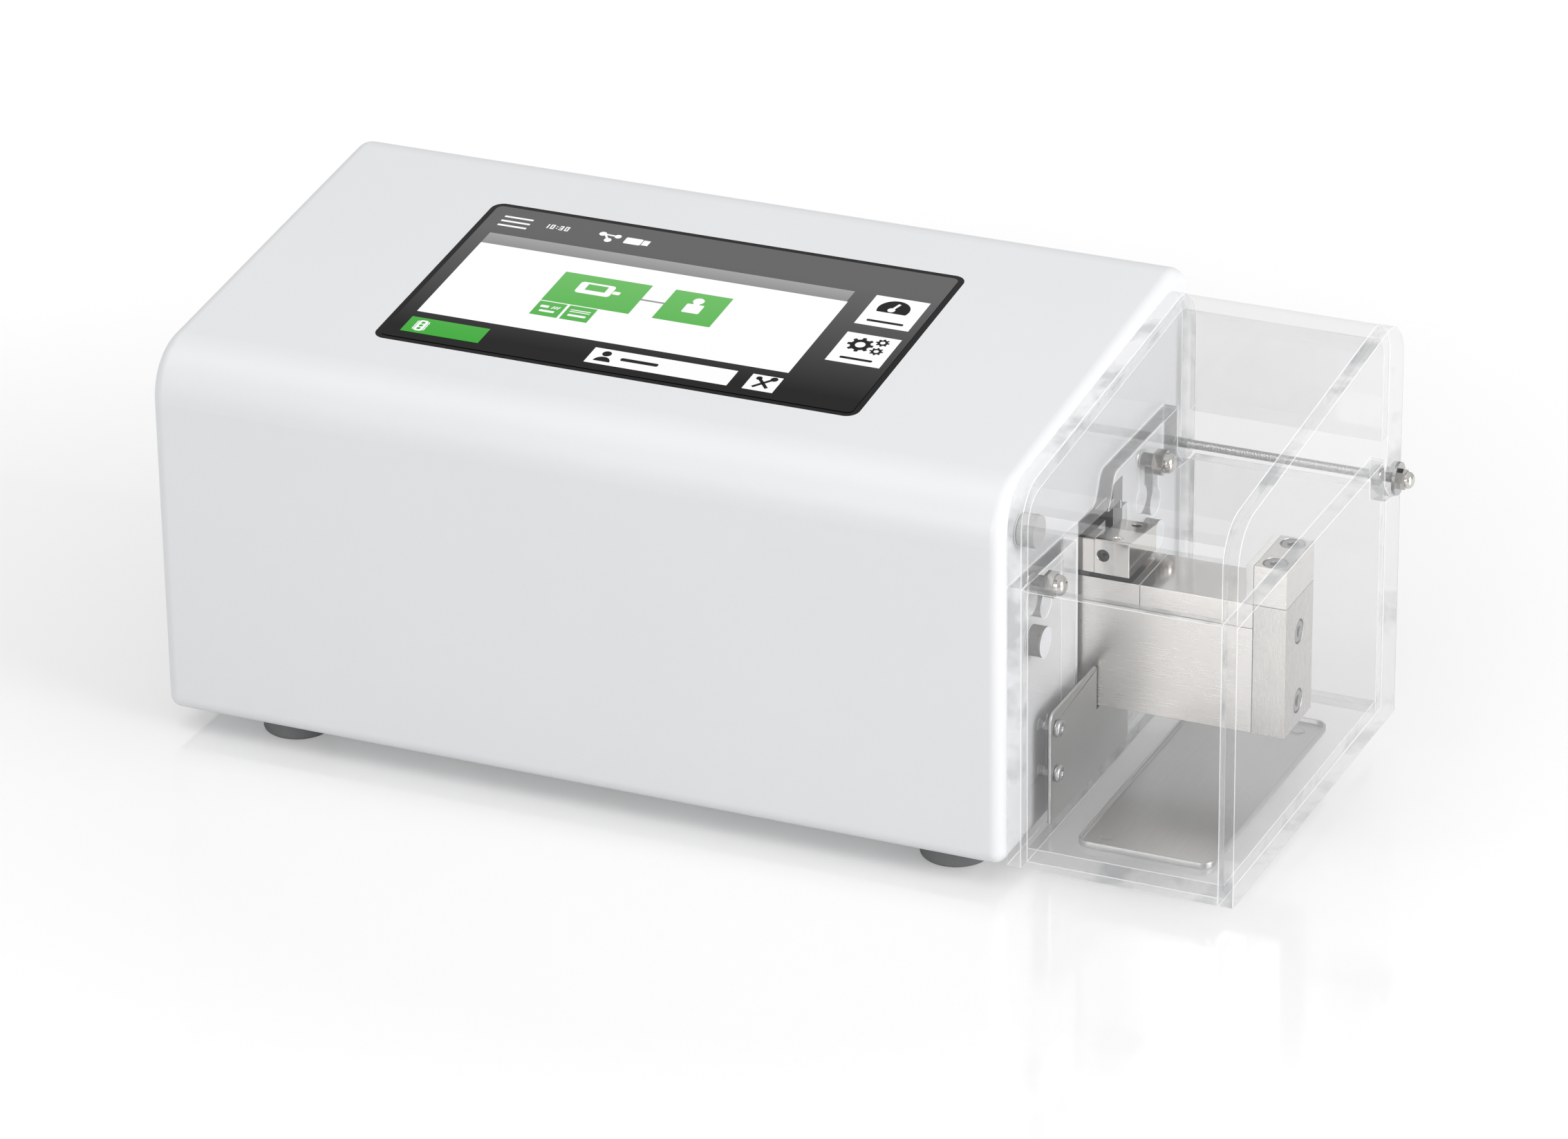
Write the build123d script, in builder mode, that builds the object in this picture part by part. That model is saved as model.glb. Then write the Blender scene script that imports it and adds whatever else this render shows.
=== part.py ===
from build123d import *
import os
from math import cos, sin, tan, radians

os.makedirs("parts", exist_ok=True)

# ------------------------------------------------------------------ sizes (mm)
# Positions run from the housing: x from its left end, y from its front face and
# z from its underside. at() turns them into the part's own frame.

# housing
BODY_LENGTH = 280.0
BODY_DEPTH = 153.0
BODY_FRONT_HEIGHT = 120.0        # where the front and the sloping top would meet
BODY_SLOPE = radians(6.87)
BODY_FRONT_RADIUS = 18.0
BODY_BACK_RADIUS = 12.0
BODY_FOOT_RADIUS = 4.5
BODY_END_RADIUS = 4.0
WALL = 3.0
WALL_LIP = 0.6                   # the base plate sits this far up inside the shell
PLATE = 2.0                      # sheet used for the base and the rear panel
POST = 12.0                      # corner posts of the shell
POST_HEIGHT = 12.0

# feet
FOOT_HEIGHT = 7.0
FOOT_RADIUS = 11.0
FOOT_STEM_RADIUS = 3.0
FOOT_EDGE = 1.2
FOOT_KEEPER_RADIUS = 4.0
FOOT_KEEPER = 1.5                # rubber left above the base plate
FOOT_LEFT = 36.5                 # left foot centres from the left end
FOOT_RIGHT_IN = 22.0             # right foot centres from the right end
FOOT_INSET = 18.0                # foot centres from the front face and from the back

# low-head M3 screws
LOW_HEAD_RADIUS = 2.75
LOW_HEAD = 1.2
LOW_SHANK_RADIUS = 1.5
LOW_SHANK = 8.0
LOW_KEY_RADIUS = 1.15
LOW_KEY_DEPTH = 0.7

# M4 cap screws
CAP_HEAD_RADIUS = 3.5
CAP_HEAD = 4.0
CAP_SINK = 4.2                   # how deep the counterbore puts the top of the head's hole
CAP_BORE_RADIUS = 3.8
CAP_SHANK_RADIUS = 2.0
CAP_SHANK = 16.0
CAP_KEY_RADIUS = 1.73
CAP_KEY_DEPTH = 2.2

# display, measured along the sloping top
SCREEN_LEFT = 60.4
SCREEN_WIDTH = 160.1
SCREEN_FRONT = 31.0
SCREEN_HEIGHT = 88.1
SCREEN_CORNER = 4.0
GLASS = WALL                     # the glass fills the window through the wall
SCREEN_MARGIN = 4.0              # the display module is wider than the window by this
MODULE = 6.0
MODULE_PLAY = 0.5
MODULE_CORNER = 2.0
BRACKET = 1.5
BRACKET_WIDTH = 14.0
BRACKET_CORNER = 3.0
BRACKET_INSET = 30.0             # its uprights from the window's ends
BOSS_RADIUS = 4.0
BOSS_OUT = 8.0                   # boss centres outside the window
BOSS_INSET = 16.0                # boss centres from the window's front and back edges

# clear hood
SHEET = 4.7
HOOD_GAP = 0.3
HOOD_LENGTH = 71.7
HOOD_FRONT = 3.0
HOOD_BACK_IN = 8.7               # its back face ahead of the housing's
HOOD_FRONT_HEIGHT = 121.4
HOOD_SLOPE = radians(5.5)
HOOD_FRONT_RADIUS = 14.0
HOOD_BACK_RADIUS = 13.7
HOOD_SPLIT = 91.0                # top of the fixed box
HOOD_BACK_SPLIT = 76.0           # top of the fixed back panel
LID_BACK_SPLIT = 92.0            # lower edge of the lid at the back
LID_GAP = 0.5
LID_ABOVE = 160.0                # a height above all of the lid

# hinge
ROD_RADIUS = 1.5
ROD_FIT = 0.08
ROD_HEIGHT = 80.8
ROD_INSET = 4.5                  # rod axis in from the hood's back face
ROD_INSIDE = 4.0                 # rod past the housing's wall
ROD_STOP = 0.15                  # play between the ear and the nut or washer
ROD_NUT_RADIUS = 3.17            # across corners / 2
ROD_NUT = 2.4
WASHER_RADIUS = 5.2
WASHER = 1.0
DOME_RADIUS = 3.17
DOME_HEX = 2.2
DOME_ROUND = 2.3
DOME_TOP_RADIUS = 2.66
DOME_CROWN = 1.9
EAR_WIDTH = 14.8                 # ear of the lid round the rod, along y
EAR_DROP = 4.5                   # ear below the rod axis
NOTCH_PLAY = 0.7
NOTCH_RISE = 1.5                 # notch floor at its front over the floor under the rod
NOTCH_FALL = 2.0                 # and the fall from there to the back edge
NOTCH_AHEAD = 1.0                # lowest point of the floor ahead of the rod
NOTCH_FLOOR_RADIUS = 2.0
NOTCH_RADIUS = 2.5
PLATE_EDGE = 0.8                 # rounding of the plates' free corners
EAR_TOE = 5.0                    # where the ear's lower edge starts behind its front
EAR_TOE_RISE = 0.6
EAR_TOE_RADIUS = 1.5
EAR_HEEL = 1.0
EAR_HEEL_RADIUS = 3.0
EAR_LAP = 2.0                    # ear drawn this far up into the cheek

# left plate: sloping top edge, then a step up to a level one
STEP_Y = 72.5
STEP_Z = 87.2
STEP_TOP_Y = 77.5
STEP_TOP_Z = 97.3
STEP_RADIUS = 4.0
CUT_FRONT = 46.0                 # opening for the bed and the arm
CUT_BACK_LOW = 88.0
CUT_BACK_HIGH = 82.2
CUT_NOSE = 86.4                  # underside of the nose left above the opening
CUT_TIP = 72.3                   # and where its tip ends
CUT_BOTTOM = 26.6
BODY_OPEN_BACK = 96.0            # the housing's own opening reaches further back
BODY_OPEN_SIDE = 2.0             # and leaves this much beside the bed
BODY_OPEN_BELOW = 1.5
BODY_OPEN_ABOVE = 6.0            # over the arm
CUT_SHOULDER = 83.4
CUT_RADIUS = 1.0

# hanging studs and keyholes: (y, stud z, low hole z)
KEYHOLES = ((22.5, 85.0, 78.3), (111.0, 87.0, 73.5))
STUD_RADIUS = 2.0
STUD_IN_WALL = 2.0
STUD_OUT = 4.6
KEY_SLOT_RADIUS = 2.2
KEY_HOLE_RADIUS = 4.3
CAP_NUT_RADIUS = 4.04
CAP_NUT_HEX = 3.2
CAP_NUT_ROUND = 3.0
CAP_NUT_DOME_RADIUS = 3.2
CAP_NUT_CROWN = 2.2
PLUG_RADIUS = 4.7
PLUGS = ((22.0, 66.0), (114.0, 61.0))
MAGNET_RADIUS = 5.0
MAGNET_PROUD = 1.3
MAGNET_DEPTH = 4.0
MAGNET_Y = 13.7
MAGNET_Z = 105.6
SENSOR_SIZE = 12.0
SENSOR_CORNER = 1.0

# dust sheet and tray
DUST = 1.0
DUST_FRONT = 24.0
DUST_TOP = 41.0
DUST_CORNER = 3.0
DUST_SCREW_Y = 28.5
DUST_SCREW_Z = (20.0, 35.0)
DUST_HEAD_RADIUS = 2.7
DUST_HEAD = 1.7
DUST_SHANK_RADIUS = 1.5
DUST_HEAD_EDGE = 0.8
DUST_KEY_DEPTH = 1.0
DUST_SHANK = 4.7
DUST_PLAY = 1.0                  # room to the bed and to the opening's edge
TRAY_LEFT_GAP = 12.6             # to the hood's two upright plates
TRAY_RIGHT_GAP = 6.7
TRAY_FRONT = 14.1
TRAY_DEPTH = 102.4
TRAY_CORNER = 4.0
TRAY_SHEET = 0.8
TRAY_RIM = 2.2
DIMPLE_RADIUS = 2.0
DIMPLE_INSET = 7.5
DIMPLE = 0.35

# test bed
BED_FRONT = 62.0
BED_DEPTH = 23.5
BED_BOTTOM = 27.0
BED_TOP = 69.5
BED_END_GAP = 1.8                # to the hood's right plate
BED_LEFT = 52.0
BED_PLATE = 8.0
BED_SEAM_OUT = 14.0              # seam from the hood's left plate
END_PLATE = 10.5
END_SCREW_Z = (34.5, 57.5)
JAW_HEIGHT = 12.9
JAW_SCREW_INSET = 4.4
PAD = 2.4
PLATE_SCREW_OUT = (21.0, 88.0)   # from the bed's left end
UNDER_SCREW_IN = (39.5, 25.5)    # from its right end
UNDER_BORE_TOP = 50.0
SUPPORT_LENGTH = 30.0
SUPPORT_OUT = 66.0               # left support from the bed's left end
SUPPORT_IN = 58.0                # right support from the housing's right end
SUPPORT_FRONT = 58.0
SUPPORT_DEPTH = 32.0
SUPPORT_SCREW_INSET = 7.0

# drive
AXIS_Y = 80.0
AXIS_Z = 96.0
MOTOR_SIDE = 42.3
MOTOR_LENGTH = 40.0
MOTOR_CORNER = 4.0
MOTOR_PITCH = 15.5
MOTOR_PILOT_RADIUS = 11.0
MOTOR_PILOT = 2.0
MOTOR_PLATE = 4.0
MOTOR_PLATE_FRONT = 56.0
MOTOR_PLATE_DEPTH = 46.0
MOTOR_PLATE_OVER = 1.0           # plate above the motor
MOTOR_PLATE_CORNER = 2.0
MOTOR_PLATE_SCREW_Z = (36.0, 56.0)
SHAFT_RADIUS = 2.5
SHAFT_OUT = 20.0
SHAFT_IN = 12.0
RUNNING = 0.06
COUPLING_RADIUS = 9.0
COUPLING_LENGTH = 24.0
COUPLING_GRIP = 12.0
SCREW_RADIUS = 4.0
SCREW_END_IN = 12.0              # from the housing's right end
NUT_RADIUS = 5.5
NUT_FLANGE_RADIUS = 8.8
NUT_FLANGE = 3.5
NUT_LENGTH = 18.0
BEARING_RADIUS = 7.0
BEARING_WIDTH = 4.0
BLOCK_OUT = 32.0                 # left block from the bed's left end
BLOCK_IN = 21.0                  # right block from the housing's right end
BLOCK_LENGTH = 10.0
BLOCK_FRONT = 71.0
BLOCK_DEPTH = 20.0
BLOCK_TOP = 107.0
BLOCK_ROOM = 1.0                 # radial room round the screw
BLOCK_FOOT = 7.5
BLOCK_FOOT_HEIGHT = 5.0
BLOCK_SCREW_Y = 78.0
RAIL_OUT = 98.0                  # from the bed's left end
RAIL_IN = 22.5                   # from the housing's right end
RAIL_Y = 78.0
RAIL_WIDTH = 9.0
RAIL_HEIGHT = 6.5
RAIL_FIT = 0.08
CARRIAGE_IN = 90.0               # from the housing's right end
CARRIAGE_LENGTH = 30.0
CARRIAGE_WIDTH = 20.0
CARRIAGE_BOTTOM = 71.5
CARRIAGE_TOP = 79.5
CARRIER_FOOT = 4.5
CARRIER_OUT = 7.0                # on the carriage
CARRIER_LENGTH = 16.0
CARRIER_FRONT = 67.2
CARRIER_DEPTH = 26.0
CARRIER_TOP = 106.0
LUG = 8.0
LUG_FRONT = 56.0
LUG_TOP = 98.0
CELL_FRONT = 57.0
CELL_DEPTH = 10.0
CELL_BOTTOM = 71.0
CELL_HEIGHT = 11.0
CELL_LENGTH = 26.0
CELL_HOLE_RADIUS = 3.6
CELL_HOLE_PITCH = 8.0
CELL_SCREW_Y = 59.2
CELL_SHANK = 11.0
ARM_FOOT = 6.0
ARM_FOOT_FRONT = 56.2
ARM_DEPTH = 8.0
ARM_BOTTOM = 70.9
ARM_HEIGHT = 11.0

# ram block at rest
RAM_OUT = 4.1                    # from the hood's left face
RAM_LENGTH = 11.2
RAM_BACK = 84.5
RAM_BOTTOM = 70.8
RAM_EDGE = 0.4
RAM_FRONT_TOP = 82.2
RAM_BACK_TOP = 79.2
TONGUE = 8.0
TONGUE_FRONT = 65.0
TONGUE_BACK = 70.0
TONGUE_BOTTOM = 72.5
TONGUE_TOP = 78.4
RAM_SIDE_HOLE = (2.8, 77.0)      # along the block, z
RAM_SIDE_HOLE_RADIUS = 1.9
RAM_TOP_HOLES = ((6.1, 66.0), (6.4, 80.5))   # along the block, y
RAM_TOP_HOLE_RADIUS = 1.5
GRUB_SINK = 0.8
GRUB_KEY_RADIUS = 0.85
GRUB_KEY_DEPTH = 1.0
RAM_BACK_HOLE_BOTTOM = 74.5

# electronics and the back of the housing
PANEL_LEFT = 20.0
PANEL_LENGTH = 116.0
PANEL_BOTTOM = 12.0
PANEL_HEIGHT = 50.0
PANEL_LAP = 5.0                  # how far the panel reaches past its window
PANEL_SCREW_IN = 2.5
INLET_X = 42.0
INLET_Z = 37.0
INLET_WIDTH = 28.0
INLET_HEIGHT = 20.0
INLET_DEPTH = 20.0
INLET_FLANGE = 2.0
INLET_LAP = 2.0
INLET_CORNER = 1.5
INLET_WALL = 1.8
INLET_CAVITY = 15.0
BLADE = (2.0, 4.0)
BLADE_PITCH = 7.0
BLADE_DROP = 3.0
BLADE_OUT = 12.0
BLADE_ROOT = 5.0
SWITCH_X = 74.0
SWITCH_WIDTH = 14.0
SWITCH_HEIGHT = 21.0
SWITCH_DEPTH = 14.0
SWITCH_FLANGE = 1.5
SWITCH_LAP = 1.5
SWITCH_CORNER = 1.0
SWITCH_WALL = 1.5
SWITCH_CAVITY = 9.5
ROCKER_PIVOT_IN = 3.5            # pivot behind the panel's face
ROCKER_FACE = 2.6
ROCKER_DISH = 1.0
ROCKER_EDGE = 0.6
ROCKER_BACK = 3.0
ROCKER_PLAY = 0.35
ROCKER_REST = 8.0                # degrees
ROCKER_PIN_RADIUS = 1.2
ROCKER_PIN = 0.9
SOCKET_X = 106.0
SOCKET_Z = 37.0
SOCKET_WIDTH = 16.0
SOCKET_HEIGHT = 14.0
SOCKET_DEPTH = 18.0
SOCKET_WALL = 1.2
SOCKET_CAVITY = 12.0
SOCKET_ROOF = 3.6                # metal above the cavity
SOCKET_SHOULDER = 2.0
SOCKET_SHOULDER_LENGTH = 1.5
VENT_COUNT = 9
VENT_PITCH = 6.5
VENT_WIDTH = 2.5
VENT_HEIGHT = 32.0
VENT_X = 214.0
VENT_Z = 44.0
BOARD_LEFT = 68.0
BOARD_LENGTH = 120.0
BOARD_FRONT = 9.0
BOARD_DEPTH = 44.0
BOARD_UP = 10.0
BOARD_SHEET = 1.6
BOARD_INSET = 4.0
BOARD_CORNER = 2.0
CHIPS = ((96.0, 24.0, 18.0, 18.0, 3.0), (128.0, 38.0, 12.0, 12.0, 2.5), (160.0, 18.0, 26.0, 8.0, 9.0))
STANDOFF_RADIUS = 3.0
STANDOFF_TIP = 1.0               # its pin above the board
SUPPLY_IN = 30.0                 # from the housing's right end
SUPPLY_LENGTH = 100.0
SUPPLY_FRONT_GAP = 8.0           # to the bed's supports
SUPPLY_BACK_GAP = 6.0            # to the back wall
SUPPLY_HEIGHT = 30.0
SUPPLY_SCREW_INSET = 8.0
SUPPLY_CORNER = 2.0
SUPPLY_SLOTS = 8
SUPPLY_SLOT_LEFT = 14.0
SUPPLY_SLOT_PITCH = 10.0
SUPPLY_SLOT = 3.0
SUPPLY_SLOT_INSET = 8.0
SUPPLY_SLOT_DEPTH = 1.5
THROUGH = 1.0                    # how far a cut runs past the face it starts from
CLEAR = 0.05                     # radial room round a screw's shank

# ------------------------------------------------------------ derived positions
HOOD_LEFT = BODY_LENGTH + HOOD_GAP
HOOD_RIGHT = HOOD_LEFT + HOOD_LENGTH
HOOD_BACK = BODY_DEPTH - HOOD_BACK_IN
ROD_Y = HOOD_BACK - ROD_INSET
DOME_LEFT = HOOD_RIGHT + ROD_STOP + WASHER
TOTAL_LENGTH = DOME_LEFT + DOME_HEX + DOME_ROUND
FLOOR = WALL_LIP + PLATE         # top of the base plate
PANEL_FACE = BODY_DEPTH - WALL   # inner face of the back wall
HOOD_INNER_LEFT = HOOD_LEFT + SHEET
HOOD_INNER_RIGHT = HOOD_RIGHT - SHEET
BED_RIGHT = HOOD_INNER_RIGHT - BED_END_GAP
BED_SEAM = HOOD_INNER_LEFT + BED_SEAM_OUT
BED_BACK = BED_FRONT + BED_DEPTH
BED_MIDDLE = (BED_FRONT + BED_BACK) / 2
BED_END = BED_RIGHT - END_PLATE
BEAM_TOP = BED_TOP - BED_PLATE
JAW_TOP = BED_TOP + JAW_HEIGHT
TRAY_LEFT = HOOD_INNER_LEFT + TRAY_LEFT_GAP
TRAY_RIGHT = HOOD_INNER_RIGHT - TRAY_RIGHT_GAP
plate_screws = [BED_LEFT + out for out in PLATE_SCREW_OUT]
under_screws = [BED_RIGHT - inset for inset in UNDER_SCREW_IN]
support_lefts = (BED_LEFT + SUPPORT_OUT, BODY_LENGTH - SUPPORT_IN)
block_lefts = (BED_LEFT + BLOCK_OUT, BODY_LENGTH - BLOCK_IN)
MOTOR_FACE = BED_LEFT - MOTOR_PLATE
SCREW_END = BODY_LENGTH - SCREW_END_IN
RAIL_LEFT = BED_LEFT + RAIL_OUT
RAIL_RIGHT = BODY_LENGTH - RAIL_IN
CARRIAGE_LEFT = BODY_LENGTH - CARRIAGE_IN
CARRIER_LEFT = CARRIAGE_LEFT + CARRIER_OUT
RAM_LEFT = HOOD_LEFT + RAM_OUT
CELL_LEFT = CARRIER_LEFT + LUG
CELL_RIGHT = CELL_LEFT + CELL_LENGTH
CELL_AXIS_Z = CELL_BOTTOM + CELL_HEIGHT / 2


def at(x, y, z):
    """A point given from the housing's left end, front face and underside."""
    return (x - TOTAL_LENGTH / 2, y - BODY_DEPTH / 2, z + FOOT_HEIGHT)


def flat(z):
    """Level plane: x to the right, y to the back, pointing up."""
    return Plane(origin=at(0, 0, z), x_dir=(1, 0, 0), z_dir=(0, 0, 1))


def end(x):
    """Upright plane across the length: y to the back, z up, pointing right."""
    return Plane(origin=at(x, 0, 0), x_dir=(0, 1, 0), z_dir=(1, 0, 0))


def face(y):
    """Upright plane along the length: x to the right, z up, pointing to the front."""
    return Plane(origin=at(0, y, 0), x_dir=(1, 0, 0), z_dir=(0, -1, 0))


def top(height):
    """Plane along the sloping top, moved out of it by height."""
    lean = (0, -sin(BODY_SLOPE), cos(BODY_SLOPE))
    return Plane(origin=at(0, 0, BODY_FRONT_HEIGHT), x_dir=(1, 0, 0), z_dir=lean).offset(height)


def area(left, right, low, high, corner=0):
    """A rectangle between two pairs of edges on the sketch in hand."""
    with Locations(((left + right) / 2, (low + high) / 2)):
        if corner > 0:
            RectangleRounded(right - left, high - low, corner)
        else:
            Rectangle(right - left, high - low)


def outline(*corners):
    """A closed outline from (across, up, corner radius), given anticlockwise."""
    flat_shape = Polygon(*[(a, u) for a, u, r in corners], align=None, mode=Mode.PRIVATE)
    for a, u, r in corners:
        if r > 0:
            nearest = flat_shape.vertices().sort_by_distance((a, u, 0))[0]
            flat_shape = fillet(nearest, r)
    return flat_shape


def sloped_outline(front, back, bottom, height, slope, inset, radii):
    """Side view of a box with a sloping top, drawn inset from its outer face."""
    front_radius, back_radius, bottom_radius = radii
    low = height + inset * tan(slope) - inset / cos(slope)
    high = low + (back - front - 2 * inset) * tan(slope)
    return outline(
        (front + inset, bottom, bottom_radius),
        (back - inset, bottom, bottom_radius),
        (back - inset, high, max(back_radius - inset, 0)),
        (front + inset, low, max(front_radius - inset, 0)),
    )


def body_outline(inset, bottom, bottom_radius):
    """The housing's side view."""
    radii = (BODY_FRONT_RADIUS, BODY_BACK_RADIUS, bottom_radius)
    return sloped_outline(0, BODY_DEPTH, bottom, BODY_FRONT_HEIGHT, BODY_SLOPE, inset, radii)


def hood_outline(inset, bottom):
    """The clear hood's side view."""
    radii = (HOOD_FRONT_RADIUS, HOOD_BACK_RADIUS, 0)
    return sloped_outline(HOOD_FRONT, HOOD_BACK, bottom, HOOD_FRONT_HEIGHT, HOOD_SLOPE, inset, radii)


# --------------------------------------------------------- where the screws go
SUPPLY_RIGHT = BODY_LENGTH - SUPPLY_IN
SUPPLY_LEFT = SUPPLY_RIGHT - SUPPLY_LENGTH
SUPPLY_FRONT = SUPPORT_FRONT + SUPPORT_DEPTH + SUPPLY_FRONT_GAP
SUPPLY_BACK = PANEL_FACE - SUPPLY_BACK_GAP
PANEL_RIGHT = PANEL_LEFT + PANEL_LENGTH
PANEL_TOP = PANEL_BOTTOM + PANEL_HEIGHT
post_points = [(x, y) for x in (WALL + POST / 2, BODY_LENGTH - WALL - POST / 2)
               for y in (WALL + POST / 2, BODY_DEPTH - WALL - POST / 2)]
support_points = [(x + dx, y) for x in support_lefts
                  for dx in (SUPPORT_SCREW_INSET, SUPPORT_LENGTH - SUPPORT_SCREW_INSET)
                  for y in (SUPPORT_FRONT + SUPPORT_SCREW_INSET,
                            SUPPORT_FRONT + SUPPORT_DEPTH - SUPPORT_SCREW_INSET)]
supply_points = [(x, y) for x in (SUPPLY_LEFT + SUPPLY_SCREW_INSET, SUPPLY_RIGHT - SUPPLY_SCREW_INSET)
                 for y in (SUPPLY_FRONT + SUPPLY_SCREW_INSET, SUPPLY_BACK - SUPPLY_SCREW_INSET)]
panel_points = [(x, z) for x in (PANEL_LEFT + PANEL_SCREW_IN, PANEL_RIGHT - PANEL_SCREW_IN)
                for z in (PANEL_BOTTOM + PANEL_SCREW_IN, PANEL_TOP - PANEL_SCREW_IN)]
boss_points = [(x, s) for x in (SCREEN_LEFT - BOSS_OUT, SCREEN_LEFT + SCREEN_WIDTH + BOSS_OUT)
               for s in (SCREEN_FRONT + BOSS_INSET, SCREEN_FRONT + SCREEN_HEIGHT - BOSS_INSET)]
motor_points = [(AXIS_Y + dy, AXIS_Z + dz) for dy in (-MOTOR_PITCH, MOTOR_PITCH)
                for dz in (-MOTOR_PITCH, MOTOR_PITCH)]
foot_columns = (FOOT_LEFT, BODY_LENGTH - FOOT_RIGHT_IN)
foot_points = [(x, y) for x in foot_columns for y in (FOOT_INSET, BODY_DEPTH - FOOT_INSET)]

# each plane lies on the screw head's outer face and points out of it
low_base_planes = [Plane(origin=at(x, y, WALL_LIP), z_dir=(0, 0, -1))
                   for x, y in post_points + support_points + supply_points]
low_panel_planes = [Plane(origin=at(x, BODY_DEPTH, z), z_dir=(0, 1, 0)) for x, z in panel_points]
BRACKET_FACE = -(WALL + MODULE + BRACKET)
bracket_plane = top(BRACKET_FACE - LOW_HEAD)
low_bracket_planes = [Plane(origin=bracket_plane.from_local_coords((x, s, 0)), z_dir=-bracket_plane.z_dir)
                      for x, s in boss_points]
low_motor_planes = [Plane(origin=at(BED_LEFT + LOW_HEAD, y, z), z_dir=(1, 0, 0)) for y, z in motor_points]
low_block_planes = [Plane(origin=at(x + BLOCK_LENGTH + BLOCK_FOOT / 2, BLOCK_SCREW_Y,
                                    BED_TOP + BLOCK_FOOT_HEIGHT + LOW_HEAD), z_dir=(0, 0, 1))
                    for x in block_lefts]
low_planes = low_base_planes + low_panel_planes + low_bracket_planes + low_motor_planes + low_block_planes

cap_end_planes = [Plane(origin=at(BED_RIGHT, BED_MIDDLE, z), z_dir=(1, 0, 0)) for z in END_SCREW_Z]
cap_jaw_planes = [Plane(origin=at(BED_RIGHT - END_PLATE / 2, y, JAW_TOP), z_dir=(0, 0, 1))
                  for y in (BED_FRONT + JAW_SCREW_INSET, BED_BACK - JAW_SCREW_INSET)]
cap_motor_planes = [Plane(origin=at(MOTOR_FACE - CAP_SINK, BED_MIDDLE, z), z_dir=(-1, 0, 0))
                    for z in MOTOR_PLATE_SCREW_Z]
cap_left_planes = [Plane(origin=at(x, BED_MIDDLE, BED_TOP), z_dir=(0, 0, 1)) for x in plate_screws]
cap_under_planes = [Plane(origin=at(x, BED_MIDDLE, UNDER_BORE_TOP - CAP_SINK), z_dir=(0, 0, -1))
                    for x in under_screws]
cap_planes = cap_end_planes + cap_jaw_planes + cap_motor_planes + cap_left_planes + cap_under_planes

# ------------------------------------------------------------------- housing
shell_outer = body_outline(0, 0, BODY_FOOT_RADIUS)
shell_inner = body_outline(WALL, -THROUGH, 0)
with BuildPart() as housing_shell:
    with BuildSketch(end(0)):
        add(shell_outer)
    extrude(amount=BODY_LENGTH)
    ends = housing_shell.faces().sort_by(Axis.X)
    fillet(ends[0].edges() + ends[-1].edges(), BODY_END_RADIUS)
    with BuildSketch(end(WALL)):
        add(shell_inner)
    extrude(amount=BODY_LENGTH - 2 * WALL, mode=Mode.SUBTRACT)
    # corner posts for the base screws
    with BuildSketch(flat(FLOOR)):
        for x in (WALL, BODY_LENGTH - WALL - POST):
            for y in (WALL, BODY_DEPTH - WALL - POST):
                area(x - CLEAR, x + POST + CLEAR, y - CLEAR, y + POST + CLEAR)
    extrude(amount=POST_HEIGHT)
    # bosses for the display bracket
    with BuildSketch(top(-WALL - MODULE)):
        with Locations(*boss_points):
            Circle(BOSS_RADIUS)
    extrude(amount=MODULE + CLEAR)
    # display window
    with BuildSketch(top(THROUGH)):
        area(SCREEN_LEFT, SCREEN_LEFT + SCREEN_WIDTH, SCREEN_FRONT, SCREEN_FRONT + SCREEN_HEIGHT, SCREEN_CORNER)
    extrude(amount=-WALL - 2 * THROUGH, mode=Mode.SUBTRACT)
    # opening in the right end for the bed and the arm
    with BuildSketch(end(BODY_LENGTH + THROUGH)):
        area(BED_FRONT - BODY_OPEN_SIDE, BED_BACK + BODY_OPEN_SIDE, BED_BOTTOM - BODY_OPEN_BELOW, BED_TOP)
        area(BED_FRONT - BODY_OPEN_SIDE, BODY_OPEN_BACK, BED_TOP, ARM_BOTTOM + ARM_HEIGHT + BODY_OPEN_ABOVE)
    extrude(amount=-WALL - 2 * THROUGH, mode=Mode.SUBTRACT)
    # holes for the hanging studs and the hinge rod
    with BuildSketch(end(BODY_LENGTH)):
        with Locations(*[(y, z) for y, z, low in KEYHOLES]):
            Circle(STUD_RADIUS)
    extrude(amount=-STUD_IN_WALL, mode=Mode.SUBTRACT)
    with BuildSketch(end(BODY_LENGTH + THROUGH)):
        with Locations((ROD_Y, ROD_HEIGHT)):
            Circle(ROD_RADIUS)
    extrude(amount=-WALL - 2 * THROUGH, mode=Mode.SUBTRACT)
    # window for the connectors, and the cooling slots
    with BuildSketch(face(BODY_DEPTH + THROUGH)):
        area(PANEL_LEFT + PANEL_LAP, PANEL_RIGHT - PANEL_LAP, PANEL_BOTTOM + PANEL_LAP, PANEL_TOP - PANEL_LAP)
        for i in range(VENT_COUNT):
            slot_x = VENT_X + (i - (VENT_COUNT - 1) / 2) * VENT_PITCH
            area(slot_x - VENT_WIDTH / 2, slot_x + VENT_WIDTH / 2, VENT_Z - VENT_HEIGHT / 2, VENT_Z + VENT_HEIGHT / 2)
    extrude(amount=WALL + 2 * THROUGH, mode=Mode.SUBTRACT)
    # screw holes
    with BuildSketch(*low_planes):
        Circle(LOW_SHANK_RADIUS)
    extrude(amount=-LOW_HEAD - LOW_SHANK, mode=Mode.SUBTRACT)
    with BuildSketch(*low_panel_planes):
        Circle(LOW_HEAD_RADIUS)
    extrude(amount=-LOW_HEAD, mode=Mode.SUBTRACT)

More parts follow.
